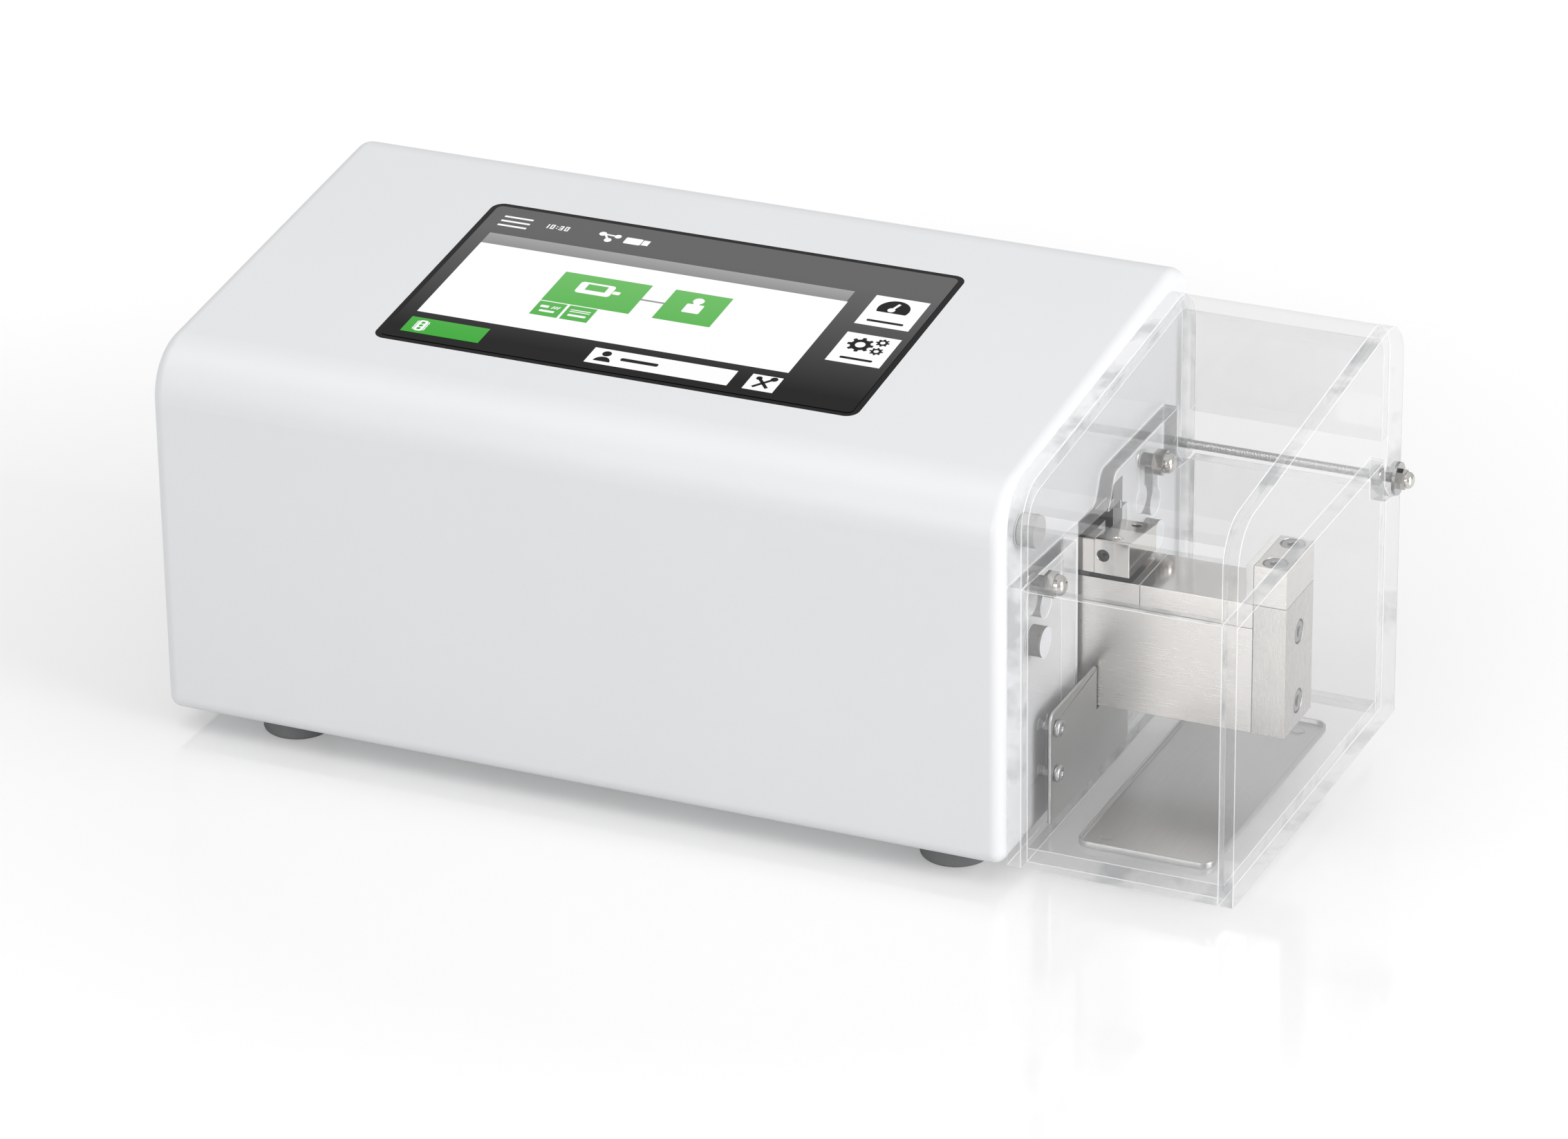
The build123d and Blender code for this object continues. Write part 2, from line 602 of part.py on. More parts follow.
with BuildPart() as base_plate:
    with BuildSketch(flat(WALL_LIP)):
        area(WALL + CLEAR, BODY_LENGTH - WALL - CLEAR, WALL + CLEAR, BODY_DEPTH - WALL - CLEAR)
    extrude(amount=PLATE)
    with BuildSketch(flat(WALL_LIP)):
        with Locations(*foot_points):
            Circle(FOOT_STEM_RADIUS)
    extrude(amount=PLATE, mode=Mode.SUBTRACT)
    with BuildSketch(*low_base_planes):
        Circle(LOW_SHANK_RADIUS)
    extrude(amount=-PLATE, mode=Mode.SUBTRACT)
    with BuildSketch(*low_base_planes):
        Circle(LOW_HEAD_RADIUS)
    extrude(amount=-LOW_HEAD, mode=Mode.SUBTRACT)

with BuildPart() as rubber_feet:
    with BuildSketch(flat(-FOOT_HEIGHT)):
        with Locations(*foot_points):
            Circle(FOOT_RADIUS)
    extrude(amount=FOOT_HEIGHT + WALL_LIP)
    fillet(rubber_feet.faces().group_by(Axis.Z)[0].edges(), FOOT_EDGE)
    # stem through the base plate with a wider head above it
    with BuildSketch(flat(WALL_LIP)):
        with Locations(*foot_points):
            Circle(FOOT_STEM_RADIUS)
    extrude(amount=PLATE)
    with BuildSketch(flat(FLOOR)):
        with Locations(*foot_points):
            Circle(FOOT_KEEPER_RADIUS)
    extrude(amount=FOOT_KEEPER)

with BuildPart() as chassis_screws:
    with BuildSketch(*low_planes):
        Circle(LOW_HEAD_RADIUS)
    extrude(amount=-LOW_HEAD)
    with BuildSketch(*low_planes):
        Circle(LOW_SHANK_RADIUS)
    extrude(amount=-LOW_HEAD - LOW_SHANK)
    with BuildSketch(*low_planes):
        RegularPolygon(LOW_KEY_RADIUS, 6)
    extrude(amount=-LOW_KEY_DEPTH, mode=Mode.SUBTRACT)

# ------------------------------------------------------- back panel and power
inlet_left = INLET_X - INLET_WIDTH / 2
inlet_right = INLET_X + INLET_WIDTH / 2
inlet_low = INLET_Z - INLET_HEIGHT / 2
inlet_high = INLET_Z + INLET_HEIGHT / 2
switch_left = SWITCH_X - SWITCH_WIDTH / 2
switch_right = SWITCH_X + SWITCH_WIDTH / 2
switch_low = INLET_Z - SWITCH_HEIGHT / 2
switch_high = INLET_Z + SWITCH_HEIGHT / 2
socket_left = SOCKET_X - SOCKET_WIDTH / 2
socket_right = SOCKET_X + SOCKET_WIDTH / 2
socket_low = SOCKET_Z - SOCKET_HEIGHT / 2
socket_high = SOCKET_Z + SOCKET_HEIGHT / 2

with BuildPart() as rear_panel:
    with BuildSketch(face(PANEL_FACE)):
        area(PANEL_LEFT, PANEL_RIGHT, PANEL_BOTTOM, PANEL_TOP)
        with Locations(*panel_points):
            Circle(LOW_SHANK_RADIUS, mode=Mode.SUBTRACT)
    extrude(amount=PLATE)
    with BuildSketch(face(PANEL_FACE)):
        area(inlet_left, inlet_right, inlet_low, inlet_high)
        area(switch_left, switch_right, switch_low, switch_high)
        area(socket_left, socket_right, socket_low, socket_high)
    extrude(amount=PLATE, mode=Mode.SUBTRACT)

with BuildPart() as power_inlet:
    with BuildSketch(face(PANEL_FACE)):
        area(inlet_left, inlet_right, inlet_low, inlet_high)
    extrude(amount=INLET_DEPTH)
    with BuildSketch(face(PANEL_FACE)):
        area(inlet_left - INLET_LAP, inlet_right + INLET_LAP,
             inlet_low - INLET_LAP, inlet_high + INLET_LAP, INLET_CORNER)
    extrude(amount=-INLET_FLANGE)
    with BuildSketch(face(PANEL_FACE + INLET_FLANGE)):
        area(inlet_left + INLET_WALL, inlet_right - INLET_WALL, inlet_low + INLET_WALL, inlet_high - INLET_WALL)
    extrude(amount=INLET_CAVITY, mode=Mode.SUBTRACT)
    with BuildSketch(face(PANEL_FACE + INLET_FLANGE - INLET_CAVITY)):
        for i in (-1, 0, 1):
            blade_z = INLET_Z - BLADE_DROP * abs(i) + BLADE_DROP / 2
            with Locations((INLET_X + i * BLADE_PITCH, blade_z)):
                Rectangle(*BLADE)
    extrude(amount=BLADE_ROOT, mode=Mode.SUBTRACT)

with BuildPart() as inlet_blades:
    with BuildSketch(face(PANEL_FACE + INLET_FLANGE - INLET_CAVITY)):
        for i in (-1, 0, 1):
            blade_z = INLET_Z - BLADE_DROP * abs(i) + BLADE_DROP / 2
            with Locations((INLET_X + i * BLADE_PITCH, blade_z)):
                Rectangle(*BLADE)
    extrude(amount=BLADE_ROOT)
    extrude(inlet_blades.faces().sort_by(Axis.Y)[-3:], amount=BLADE_OUT)

ROCKER_Y = PANEL_FACE - ROCKER_PIVOT_IN + SWITCH_FLANGE
cavity_left = switch_left + SWITCH_WALL
cavity_right = switch_right - SWITCH_WALL
cavity_half = SWITCH_HEIGHT / 2 - SWITCH_WALL
with BuildPart() as switch_housing:
    with BuildSketch(face(PANEL_FACE)):
        area(switch_left, switch_right, switch_low, switch_high)
    extrude(amount=SWITCH_DEPTH)
    with BuildSketch(face(PANEL_FACE)):
        area(switch_left - SWITCH_LAP, switch_right + SWITCH_LAP,
             switch_low - SWITCH_LAP, switch_high + SWITCH_LAP, SWITCH_CORNER)
    extrude(amount=-SWITCH_FLANGE)
    with BuildSketch(face(PANEL_FACE + SWITCH_FLANGE)):
        area(cavity_left, cavity_right, INLET_Z - cavity_half, INLET_Z + cavity_half)
    extrude(amount=SWITCH_CAVITY, mode=Mode.SUBTRACT)
    with BuildSketch(end(cavity_left - ROCKER_PIN)):
        with Locations((ROCKER_Y, INLET_Z)):
            Circle(ROCKER_PIN_RADIUS + RUNNING)
    extrude(amount=cavity_right - cavity_left + 2 * ROCKER_PIN, mode=Mode.SUBTRACT)

rocker_half = cavity_half - 3 * ROCKER_PLAY
rocker_side = outline(
    (-ROCKER_BACK, -rocker_half, 0),
    (ROCKER_FACE, -rocker_half, ROCKER_EDGE),
    (ROCKER_FACE - ROCKER_DISH, 0, 0),
    (ROCKER_FACE, rocker_half, ROCKER_EDGE),
    (-ROCKER_BACK, rocker_half, 0),
)
rocker_plane = Plane(origin=at(cavity_left + ROCKER_PLAY, ROCKER_Y, INLET_Z),
                     x_dir=(0, cos(radians(ROCKER_REST)), sin(radians(ROCKER_REST))), z_dir=(1, 0, 0))
rocker_width = cavity_right - cavity_left - 2 * ROCKER_PLAY
with BuildPart() as power_rocker:
    with BuildSketch(rocker_plane):
        add(rocker_side)
    extrude(amount=rocker_width)
    with BuildSketch(rocker_plane.offset(-ROCKER_PIN)):
        Circle(ROCKER_PIN_RADIUS)
    extrude(amount=rocker_width + 2 * ROCKER_PIN)

with BuildPart() as data_socket:
    with BuildSketch(face(PANEL_FACE + SWITCH_FLANGE)):
        area(socket_left, socket_right, socket_low, socket_high)
    extrude(amount=SOCKET_DEPTH)
    # stop shoulders behind the panel
    with BuildSketch(face(PANEL_FACE - PLATE)):
        area(socket_left - SOCKET_SHOULDER, socket_right + SOCKET_SHOULDER, socket_low, socket_high)
    extrude(amount=SOCKET_SHOULDER_LENGTH)
    with BuildSketch(face(PANEL_FACE + SWITCH_FLANGE)):
        area(socket_left + SOCKET_WALL, socket_right - SOCKET_WALL,
             socket_low + SOCKET_WALL, socket_high - SOCKET_ROOF)
    extrude(amount=SOCKET_CAVITY, mode=Mode.SUBTRACT)

# ------------------------------------------------------------------- display
with BuildPart() as display_glass:
    with BuildSketch(top(0)):
        area(SCREEN_LEFT, SCREEN_LEFT + SCREEN_WIDTH, SCREEN_FRONT, SCREEN_FRONT + SCREEN_HEIGHT, SCREEN_CORNER)
    extrude(amount=-GLASS)

with BuildPart() as display_module:
    with BuildSketch(top(-WALL)):
        area(SCREEN_LEFT - SCREEN_MARGIN + MODULE_PLAY, SCREEN_LEFT + SCREEN_WIDTH + SCREEN_MARGIN - MODULE_PLAY,
             SCREEN_FRONT - SCREEN_MARGIN, SCREEN_FRONT + SCREEN_HEIGHT + SCREEN_MARGIN, MODULE_CORNER)
    extrude(amount=-MODULE)

with BuildPart() as display_bracket:
    with BuildSketch(top(-WALL - MODULE)):
        for s in (SCREEN_FRONT + BOSS_INSET, SCREEN_FRONT + SCREEN_HEIGHT - BOSS_INSET):
            area(SCREEN_LEFT - BOSS_OUT - BRACKET_WIDTH / 2,
                 SCREEN_LEFT + SCREEN_WIDTH + BOSS_OUT + BRACKET_WIDTH / 2,
                 s - BRACKET_WIDTH / 2, s + BRACKET_WIDTH / 2, BRACKET_CORNER)
        for x in (SCREEN_LEFT + BRACKET_INSET, SCREEN_LEFT + SCREEN_WIDTH - BRACKET_INSET - BRACKET_WIDTH):
            area(x, x + BRACKET_WIDTH, SCREEN_FRONT + BOSS_INSET, SCREEN_FRONT + SCREEN_HEIGHT - BOSS_INSET)
        with Locations(*boss_points):
            Circle(LOW_SHANK_RADIUS, mode=Mode.SUBTRACT)
    extrude(amount=-BRACKET)

# --------------------------------------------------------------- electronics
BOARD_RIGHT = BOARD_LEFT + BOARD_LENGTH
BOARD_BACK = BOARD_FRONT + BOARD_DEPTH
standoff_points = [(x, y) for x in (BOARD_LEFT + BOARD_INSET, BOARD_RIGHT - BOARD_INSET)
                   for y in (BOARD_FRONT + BOARD_INSET, BOARD_BACK - BOARD_INSET)]
with BuildPart() as main_board:
    with BuildSketch(flat(FLOOR + BOARD_UP)):
        area(BOARD_LEFT, BOARD_RIGHT, BOARD_FRONT, BOARD_BACK, BOARD_CORNER)
    extrude(amount=BOARD_SHEET)
    for x, y, length, depth, height in CHIPS:
        with BuildSketch(flat(FLOOR + BOARD_UP + BOARD_SHEET)):
            area(x, x + length, y, y + depth)
        extrude(amount=height)
    with BuildSketch(flat(FLOOR + BOARD_UP)):
        with Locations(*standoff_points):
            Circle(STANDOFF_RADIUS / 2)
    extrude(amount=BOARD_SHEET, mode=Mode.SUBTRACT)

with BuildPart() as board_standoffs:
    with BuildSketch(flat(FLOOR)):
        with Locations(*standoff_points):
            Circle(STANDOFF_RADIUS)
    extrude(amount=BOARD_UP)
    with BuildSketch(flat(FLOOR + BOARD_UP)):
        with Locations(*standoff_points):
            Circle(STANDOFF_RADIUS / 2)
    extrude(amount=BOARD_SHEET + STANDOFF_TIP)

with BuildPart() as power_supply:
    with BuildSketch(flat(FLOOR)):
        area(SUPPLY_LEFT, SUPPLY_RIGHT, SUPPLY_FRONT, SUPPLY_BACK, SUPPLY_CORNER)
    extrude(amount=SUPPLY_HEIGHT)
    for i in range(SUPPLY_SLOTS):
        slot_x = SUPPLY_LEFT + SUPPLY_SLOT_LEFT + i * SUPPLY_SLOT_PITCH
        with BuildSketch(flat(FLOOR + SUPPLY_HEIGHT)):
            area(slot_x, slot_x + SUPPLY_SLOT, SUPPLY_FRONT + SUPPLY_SLOT_INSET, SUPPLY_BACK - SUPPLY_SLOT_INSET)
        extrude(amount=-SUPPLY_SLOT_DEPTH, mode=Mode.SUBTRACT)
    with BuildSketch(*low_base_planes):
        Circle(LOW_SHANK_RADIUS)
    extrude(amount=-LOW_HEAD - LOW_SHANK, mode=Mode.SUBTRACT)

# ------------------------------------------------------------------ test bed
with BuildPart() as bed_beam:
    with BuildSketch(flat(BED_BOTTOM)):
        area(BED_LEFT, BED_END, BED_FRONT, BED_BACK)
    extrude(amount=BEAM_TOP - BED_BOTTOM)
    with BuildSketch(*cap_planes):
        Circle(CAP_SHANK_RADIUS)
    extrude(amount=-CAP_SINK - CAP_SHANK, mode=Mode.SUBTRACT)
    with BuildSketch(*[Plane(origin=at(x, BED_MIDDLE, BED_BOTTOM), z_dir=(0, 0, -1)) for x in under_screws]):
        Circle(CAP_BORE_RADIUS)
    extrude(amount=BED_BOTTOM - UNDER_BORE_TOP, mode=Mode.SUBTRACT)
    with BuildSketch(*low_base_planes):
        Circle(LOW_SHANK_RADIUS)
    extrude(amount=-LOW_HEAD - LOW_SHANK, mode=Mode.SUBTRACT)

with BuildPart() as bed_plate_left:
    with BuildSketch(flat(BEAM_TOP)):
        area(BED_LEFT, BED_SEAM, BED_FRONT, BED_BACK)
    extrude(amount=BED_PLATE)
    with BuildSketch(*cap_left_planes):
        Circle(CAP_SHANK_RADIUS)
    extrude(amount=-BED_PLATE, mode=Mode.SUBTRACT)
    with BuildSketch(*cap_left_planes):
        Circle(CAP_BORE_RADIUS)
    extrude(amount=-CAP_SINK, mode=Mode.SUBTRACT)
    with BuildSketch(*low_block_planes):
        Circle(LOW_SHANK_RADIUS)
    extrude(amount=-LOW_HEAD - LOW_SHANK - BLOCK_FOOT_HEIGHT, mode=Mode.SUBTRACT)

with BuildPart() as bed_plate_right:
    with BuildSketch(flat(BEAM_TOP)):
        area(BED_SEAM, BED_END, BED_FRONT, BED_BACK)
    extrude(amount=BED_PLATE)
    with BuildSketch(*cap_under_planes):
        Circle(CAP_SHANK_RADIUS)
    extrude(amount=-CAP_SINK - CAP_SHANK, mode=Mode.SUBTRACT)

with BuildPart() as bed_supports:
    with BuildSketch(flat(FLOOR)):
        for x in support_lefts:
            area(x, x + SUPPORT_LENGTH, SUPPORT_FRONT, SUPPORT_FRONT + SUPPORT_DEPTH)
    extrude(amount=BED_BOTTOM - FLOOR)
    with BuildSketch(*low_base_planes):
        Circle(LOW_SHANK_RADIUS)
    extrude(amount=-LOW_HEAD - LOW_SHANK, mode=Mode.SUBTRACT)

with BuildPart() as end_plate:
    with BuildSketch(flat(BED_BOTTOM)):
        area(BED_END, BED_RIGHT, BED_FRONT, BED_BACK)
    extrude(amount=BED_TOP - BED_BOTTOM)
    with BuildSketch(*cap_end_planes, *cap_jaw_planes):
        Circle(CAP_SHANK_RADIUS)
    extrude(amount=-CAP_SINK - CAP_SHANK, mode=Mode.SUBTRACT)
    with BuildSketch(*cap_end_planes):
        Circle(CAP_BORE_RADIUS)
    extrude(amount=-CAP_SINK, mode=Mode.SUBTRACT)

with BuildPart() as jaw_block:
    with BuildSketch(flat(BED_TOP)):
        area(BED_END, BED_RIGHT, BED_FRONT, BED_BACK)
    extrude(amount=JAW_HEIGHT)
    with BuildSketch(*cap_jaw_planes):
        Circle(CAP_SHANK_RADIUS)
    extrude(amount=-JAW_HEIGHT, mode=Mode.SUBTRACT)
    with BuildSketch(*cap_jaw_planes):
        Circle(CAP_BORE_RADIUS)
    extrude(amount=-CAP_SINK, mode=Mode.SUBTRACT)

with BuildPart() as jaw_pad:
    with BuildSketch(flat(BED_TOP)):
        area(BED_END - PAD, BED_END, BED_FRONT, BED_BACK)
    extrude(amount=JAW_HEIGHT)

with BuildPart() as cap_screws:
    head_planes = [plane.offset(CAP_HEAD - CAP_SINK) for plane in cap_planes]
    with BuildSketch(*head_planes):
        Circle(CAP_HEAD_RADIUS)
    extrude(amount=-CAP_HEAD)
    with BuildSketch(*head_planes):
        Circle(CAP_SHANK_RADIUS)
    extrude(amount=-CAP_HEAD - CAP_SHANK)
    with BuildSketch(*head_planes):
        RegularPolygon(CAP_KEY_RADIUS, 6)
    extrude(amount=-CAP_KEY_DEPTH, mode=Mode.SUBTRACT)

# --------------------------------------------------------------------- drive
MOTOR_LEFT = MOTOR_FACE - MOTOR_LENGTH
with BuildPart() as stepper_motor:
    with BuildSketch(end(MOTOR_LEFT)):
        area(AXIS_Y - MOTOR_SIDE / 2, AXIS_Y + MOTOR_SIDE / 2,
             AXIS_Z - MOTOR_SIDE / 2, AXIS_Z + MOTOR_SIDE / 2, MOTOR_CORNER)
    extrude(amount=MOTOR_LENGTH)
    with BuildSketch(end(MOTOR_FACE)):
        with Locations((AXIS_Y, AXIS_Z)):
            Circle(MOTOR_PILOT_RADIUS)
    extrude(amount=MOTOR_PILOT)
    with BuildSketch(end(MOTOR_FACE + MOTOR_PILOT)):
        with Locations((AXIS_Y, AXIS_Z)):
            Circle(SHAFT_RADIUS + RUNNING)
    extrude(amount=-MOTOR_PILOT - SHAFT_IN, mode=Mode.SUBTRACT)
    with BuildSketch(*low_motor_planes):
        Circle(LOW_SHANK_RADIUS)
    extrude(amount=-LOW_HEAD - LOW_SHANK, mode=Mode.SUBTRACT)

with BuildPart() as motor_bracket:
    with BuildSketch(end(MOTOR_FACE)):
        area(MOTOR_PLATE_FRONT, MOTOR_PLATE_FRONT + MOTOR_PLATE_DEPTH,
             BED_BOTTOM, AXIS_Z + MOTOR_SIDE / 2 + MOTOR_PLATE_OVER, MOTOR_PLATE_CORNER)
        with Locations((AXIS_Y, AXIS_Z)):
            Circle(MOTOR_PILOT_RADIUS, mode=Mode.SUBTRACT)
        with Locations(*motor_points):
            Circle(LOW_SHANK_RADIUS, mode=Mode.SUBTRACT)
    extrude(amount=MOTOR_PLATE)
    with BuildSketch(*cap_motor_planes):
        Circle(CAP_SHANK_RADIUS)
    extrude(amount=-CAP_SINK - CAP_SHANK, mode=Mode.SUBTRACT)

with BuildPart() as motor_shaft:
    with BuildSketch(end(MOTOR_FACE - SHAFT_IN + MOTOR_PILOT)):
        with Locations((AXIS_Y, AXIS_Z)):
            Circle(SHAFT_RADIUS)
    extrude(amount=SHAFT_IN - MOTOR_PILOT + SHAFT_OUT)

SHAFT_END = MOTOR_FACE + SHAFT_OUT
with BuildPart() as shaft_coupling:
    with BuildSketch(end(SHAFT_END - COUPLING_GRIP)):
        with Locations((AXIS_Y, AXIS_Z)):
            Circle(COUPLING_RADIUS)
            Circle(SHAFT_RADIUS, mode=Mode.SUBTRACT)
    extrude(amount=COUPLING_LENGTH)
    with BuildSketch(end(SHAFT_END)):
        with Locations((AXIS_Y, AXIS_Z)):
            Circle(SCREW_RADIUS)
    extrude(amount=COUPLING_LENGTH - COUPLING_GRIP, mode=Mode.SUBTRACT)

with BuildPart() as lead_screw:
    with BuildSketch(end(SHAFT_END)):
        with Locations((AXIS_Y, AXIS_Z)):
            Circle(SCREW_RADIUS)
    extrude(amount=SCREW_END - SHAFT_END)

with BuildPart() as bearing_blocks:
    for x in block_lefts:
        with BuildSketch(end(x)):
            area(BLOCK_FRONT, BLOCK_FRONT + BLOCK_DEPTH, BED_TOP, BLOCK_TOP)
        extrude(amount=BLOCK_LENGTH)
        with BuildSketch(end(x + BLOCK_LENGTH)):
            area(BLOCK_FRONT, BLOCK_FRONT + BLOCK_DEPTH, BED_TOP, BED_TOP + BLOCK_FOOT_HEIGHT)
        extrude(amount=BLOCK_FOOT)
        with BuildSketch(end(x)):
            with Locations((AXIS_Y, AXIS_Z)):
                Circle(SCREW_RADIUS + BLOCK_ROOM)
        extrude(amount=BLOCK_LENGTH, mode=Mode.SUBTRACT)
        with BuildSketch(end(x)):
            with Locations((AXIS_Y, AXIS_Z)):
                Circle(BEARING_RADIUS)
        extrude(amount=BEARING_WIDTH, mode=Mode.SUBTRACT)
    with BuildSketch(*low_block_planes):
        Circle(LOW_SHANK_RADIUS)
    extrude(amount=-LOW_HEAD - LOW_SHANK, mode=Mode.SUBTRACT)

with BuildPart() as screw_bearings:
    for x in block_lefts:
        with BuildSketch(end(x)):
            with Locations((AXIS_Y, AXIS_Z)):
                Circle(BEARING_RADIUS)
                Circle(SCREW_RADIUS + RUNNING, mode=Mode.SUBTRACT)
        extrude(amount=BEARING_WIDTH)

rail_low = RAIL_Y - RAIL_WIDTH / 2
rail_high = RAIL_Y + RAIL_WIDTH / 2
with BuildPart() as guide_rail:
    with BuildSketch(end(RAIL_LEFT)):
        area(rail_low, rail_high, BED_TOP, BED_TOP + RAIL_HEIGHT)
    extrude(amount=RAIL_RIGHT - RAIL_LEFT)

CARRIAGE_FRONT = RAIL_Y - CARRIAGE_WIDTH / 2
with BuildPart() as guide_carriage:
    with BuildSketch(end(CARRIAGE_LEFT)):
        area(CARRIAGE_FRONT, CARRIAGE_FRONT + CARRIAGE_WIDTH, CARRIAGE_BOTTOM, CARRIAGE_TOP)
    extrude(amount=CARRIAGE_LENGTH)
    with BuildSketch(end(CARRIAGE_LEFT)):
        area(rail_low - RAIL_FIT, rail_high + RAIL_FIT, BED_TOP, BED_TOP + RAIL_HEIGHT + RAIL_FIT)
    extrude(amount=CARRIAGE_LENGTH, mode=Mode.SUBTRACT)

with BuildPart() as ram_carrier:
    with BuildSketch(flat(CARRIAGE_TOP)):
        area(CARRIAGE_LEFT, CARRIAGE_LEFT + CARRIAGE_LENGTH, CARRIER_FRONT, CARRIER_FRONT + CARRIER_DEPTH)
    extrude(amount=CARRIER_FOOT)
    with BuildSketch(end(CARRIER_LEFT)):
        area(CARRIER_FRONT, CARRIER_FRONT + CARRIER_DEPTH, CARRIAGE_TOP, CARRIER_TOP)
    extrude(amount=CARRIER_LENGTH)
    with BuildSketch(end(CARRIER_LEFT)):
        area(LUG_FRONT, CARRIER_FRONT, CELL_BOTTOM, LUG_TOP)
    extrude(amount=LUG)
    with BuildSketch(end(CARRIER_LEFT)):
        with Locations((AXIS_Y, AXIS_Z)):
            Circle(NUT_RADIUS)
        with Locations((CELL_FRONT + CELL_DEPTH / 2, CELL_AXIS_Z)):
            Circle(LOW_SHANK_RADIUS)
    extrude(amount=CARRIER_LENGTH, mode=Mode.SUBTRACT)

with BuildPart() as screw_nut:
    with BuildSketch(end(CARRIER_LEFT - NUT_FLANGE)):
        with Locations((AXIS_Y, AXIS_Z)):
            Circle(NUT_RADIUS)
    extrude(amount=NUT_LENGTH)
    with BuildSketch(end(CARRIER_LEFT - NUT_FLANGE)):
        with Locations((AXIS_Y, AXIS_Z)):
            Circle(NUT_FLANGE_RADIUS)
    extrude(amount=NUT_FLANGE)
    with BuildSketch(end(CARRIER_LEFT - NUT_FLANGE)):
        with Locations((AXIS_Y, AXIS_Z)):
            Circle(SCREW_RADIUS + RUNNING)
    extrude(amount=NUT_LENGTH, mode=Mode.SUBTRACT)

# screws at both ends of the load cell, heads facing outwards
cell_planes = [
    Plane(origin=at(CARRIER_LEFT - LOW_HEAD, CELL_FRONT + CELL_DEPTH / 2, CELL_AXIS_Z), z_dir=(-1, 0, 0)),
    Plane(origin=at(CELL_RIGHT + ARM_FOOT + LOW_HEAD, CELL_SCREW_Y, CELL_AXIS_Z), z_dir=(1, 0, 0)),
]
with BuildPart() as load_cell:
    with BuildSketch(end(CELL_LEFT)):
        area(CELL_FRONT, CELL_FRONT + CELL_DEPTH, CELL_BOTTOM, CELL_BOTTOM + CELL_HEIGHT)
    extrude(amount=CELL_LENGTH)
    with BuildSketch(face(CELL_FRONT)):
        with Locations(((CELL_LEFT + CELL_RIGHT) / 2 - CELL_HOLE_PITCH / 2, CELL_AXIS_Z),
                       ((CELL_LEFT + CELL_RIGHT) / 2 + CELL_HOLE_PITCH / 2, CELL_AXIS_Z)):
            Circle(CELL_HOLE_RADIUS)
    extrude(amount=-CELL_DEPTH, mode=Mode.SUBTRACT)
    with BuildSketch(*cell_planes):
        Circle(LOW_SHANK_RADIUS)
    extrude(amount=-LOW_HEAD - CELL_SHANK, mode=Mode.SUBTRACT)

with BuildPart() as load_cell_screws:
    with BuildSketch(*cell_planes):
        Circle(LOW_HEAD_RADIUS)
    extrude(amount=-LOW_HEAD)
    with BuildSketch(*cell_planes):
        Circle(LOW_SHANK_RADIUS)
    extrude(amount=-LOW_HEAD - CELL_SHANK)
    with BuildSketch(*cell_planes):
        RegularPolygon(LOW_KEY_RADIUS, 6)
    extrude(amount=-LOW_KEY_DEPTH, mode=Mode.SUBTRACT)

with BuildPart() as ram_arm:
    with BuildSketch(end(CELL_RIGHT)):
        area(BED_FRONT, BED_FRONT + ARM_DEPTH, ARM_BOTTOM, ARM_BOTTOM + ARM_HEIGHT)
    extrude(amount=RAM_LEFT - CELL_RIGHT)
    with BuildSketch(end(CELL_RIGHT)):
        area(ARM_FOOT_FRONT, BED_FRONT + ARM_DEPTH, ARM_BOTTOM, ARM_BOTTOM + ARM_HEIGHT)
    extrude(amount=ARM_FOOT)
    with BuildSketch(end(RAM_LEFT)):
        area(TONGUE_FRONT, TONGUE_BACK, TONGUE_BOTTOM, TONGUE_TOP)
    extrude(amount=TONGUE)
    with BuildSketch(*cell_planes):
        Circle(LOW_SHANK_RADIUS)
    extrude(amount=-LOW_HEAD - CELL_SHANK, mode=Mode.SUBTRACT)

# ram block: its top leans down to the back
ram_side = outline(
    (BED_FRONT, RAM_BOTTOM, 0),
    (RAM_BACK, RAM_BOTTOM, 0),
    (RAM_BACK, RAM_BACK_TOP, RAM_EDGE),
    (BED_FRONT, RAM_FRONT_TOP, RAM_EDGE),
)


def ram_top(y):
    """Height of the ram block's sloping top."""
    return RAM_FRONT_TOP + (RAM_BACK_TOP - RAM_FRONT_TOP) * (y - BED_FRONT) / (RAM_BACK - BED_FRONT)


side_out, side_z = RAM_SIDE_HOLE
side_x = RAM_LEFT + side_out
top_holes = [(RAM_LEFT + out, y) for out, y in RAM_TOP_HOLES]
hole_floors = (TONGUE_TOP, RAM_BACK_HOLE_BOTTOM)
with BuildPart() as ram_block:
    with BuildSketch(end(RAM_LEFT)):
        add(ram_side)
    extrude(amount=RAM_LENGTH)
    with BuildSketch(end(RAM_LEFT)):
        area(TONGUE_FRONT, TONGUE_BACK, TONGUE_BOTTOM, TONGUE_TOP)
    extrude(amount=TONGUE, mode=Mode.SUBTRACT)
    with BuildSketch(face(BED_FRONT)):
        with Locations((side_x, side_z)):
            Circle(RAM_SIDE_HOLE_RADIUS)
    extrude(amount=BED_FRONT - TONGUE_FRONT, mode=Mode.SUBTRACT)
    for (x, y), floor_z in zip(top_holes, hole_floors):
        with BuildSketch(flat(floor_z)):
            with Locations((x, y)):
                Circle(RAM_TOP_HOLE_RADIUS)
        extrude(amount=RAM_FRONT_TOP + THROUGH - floor_z, mode=Mode.SUBTRACT)

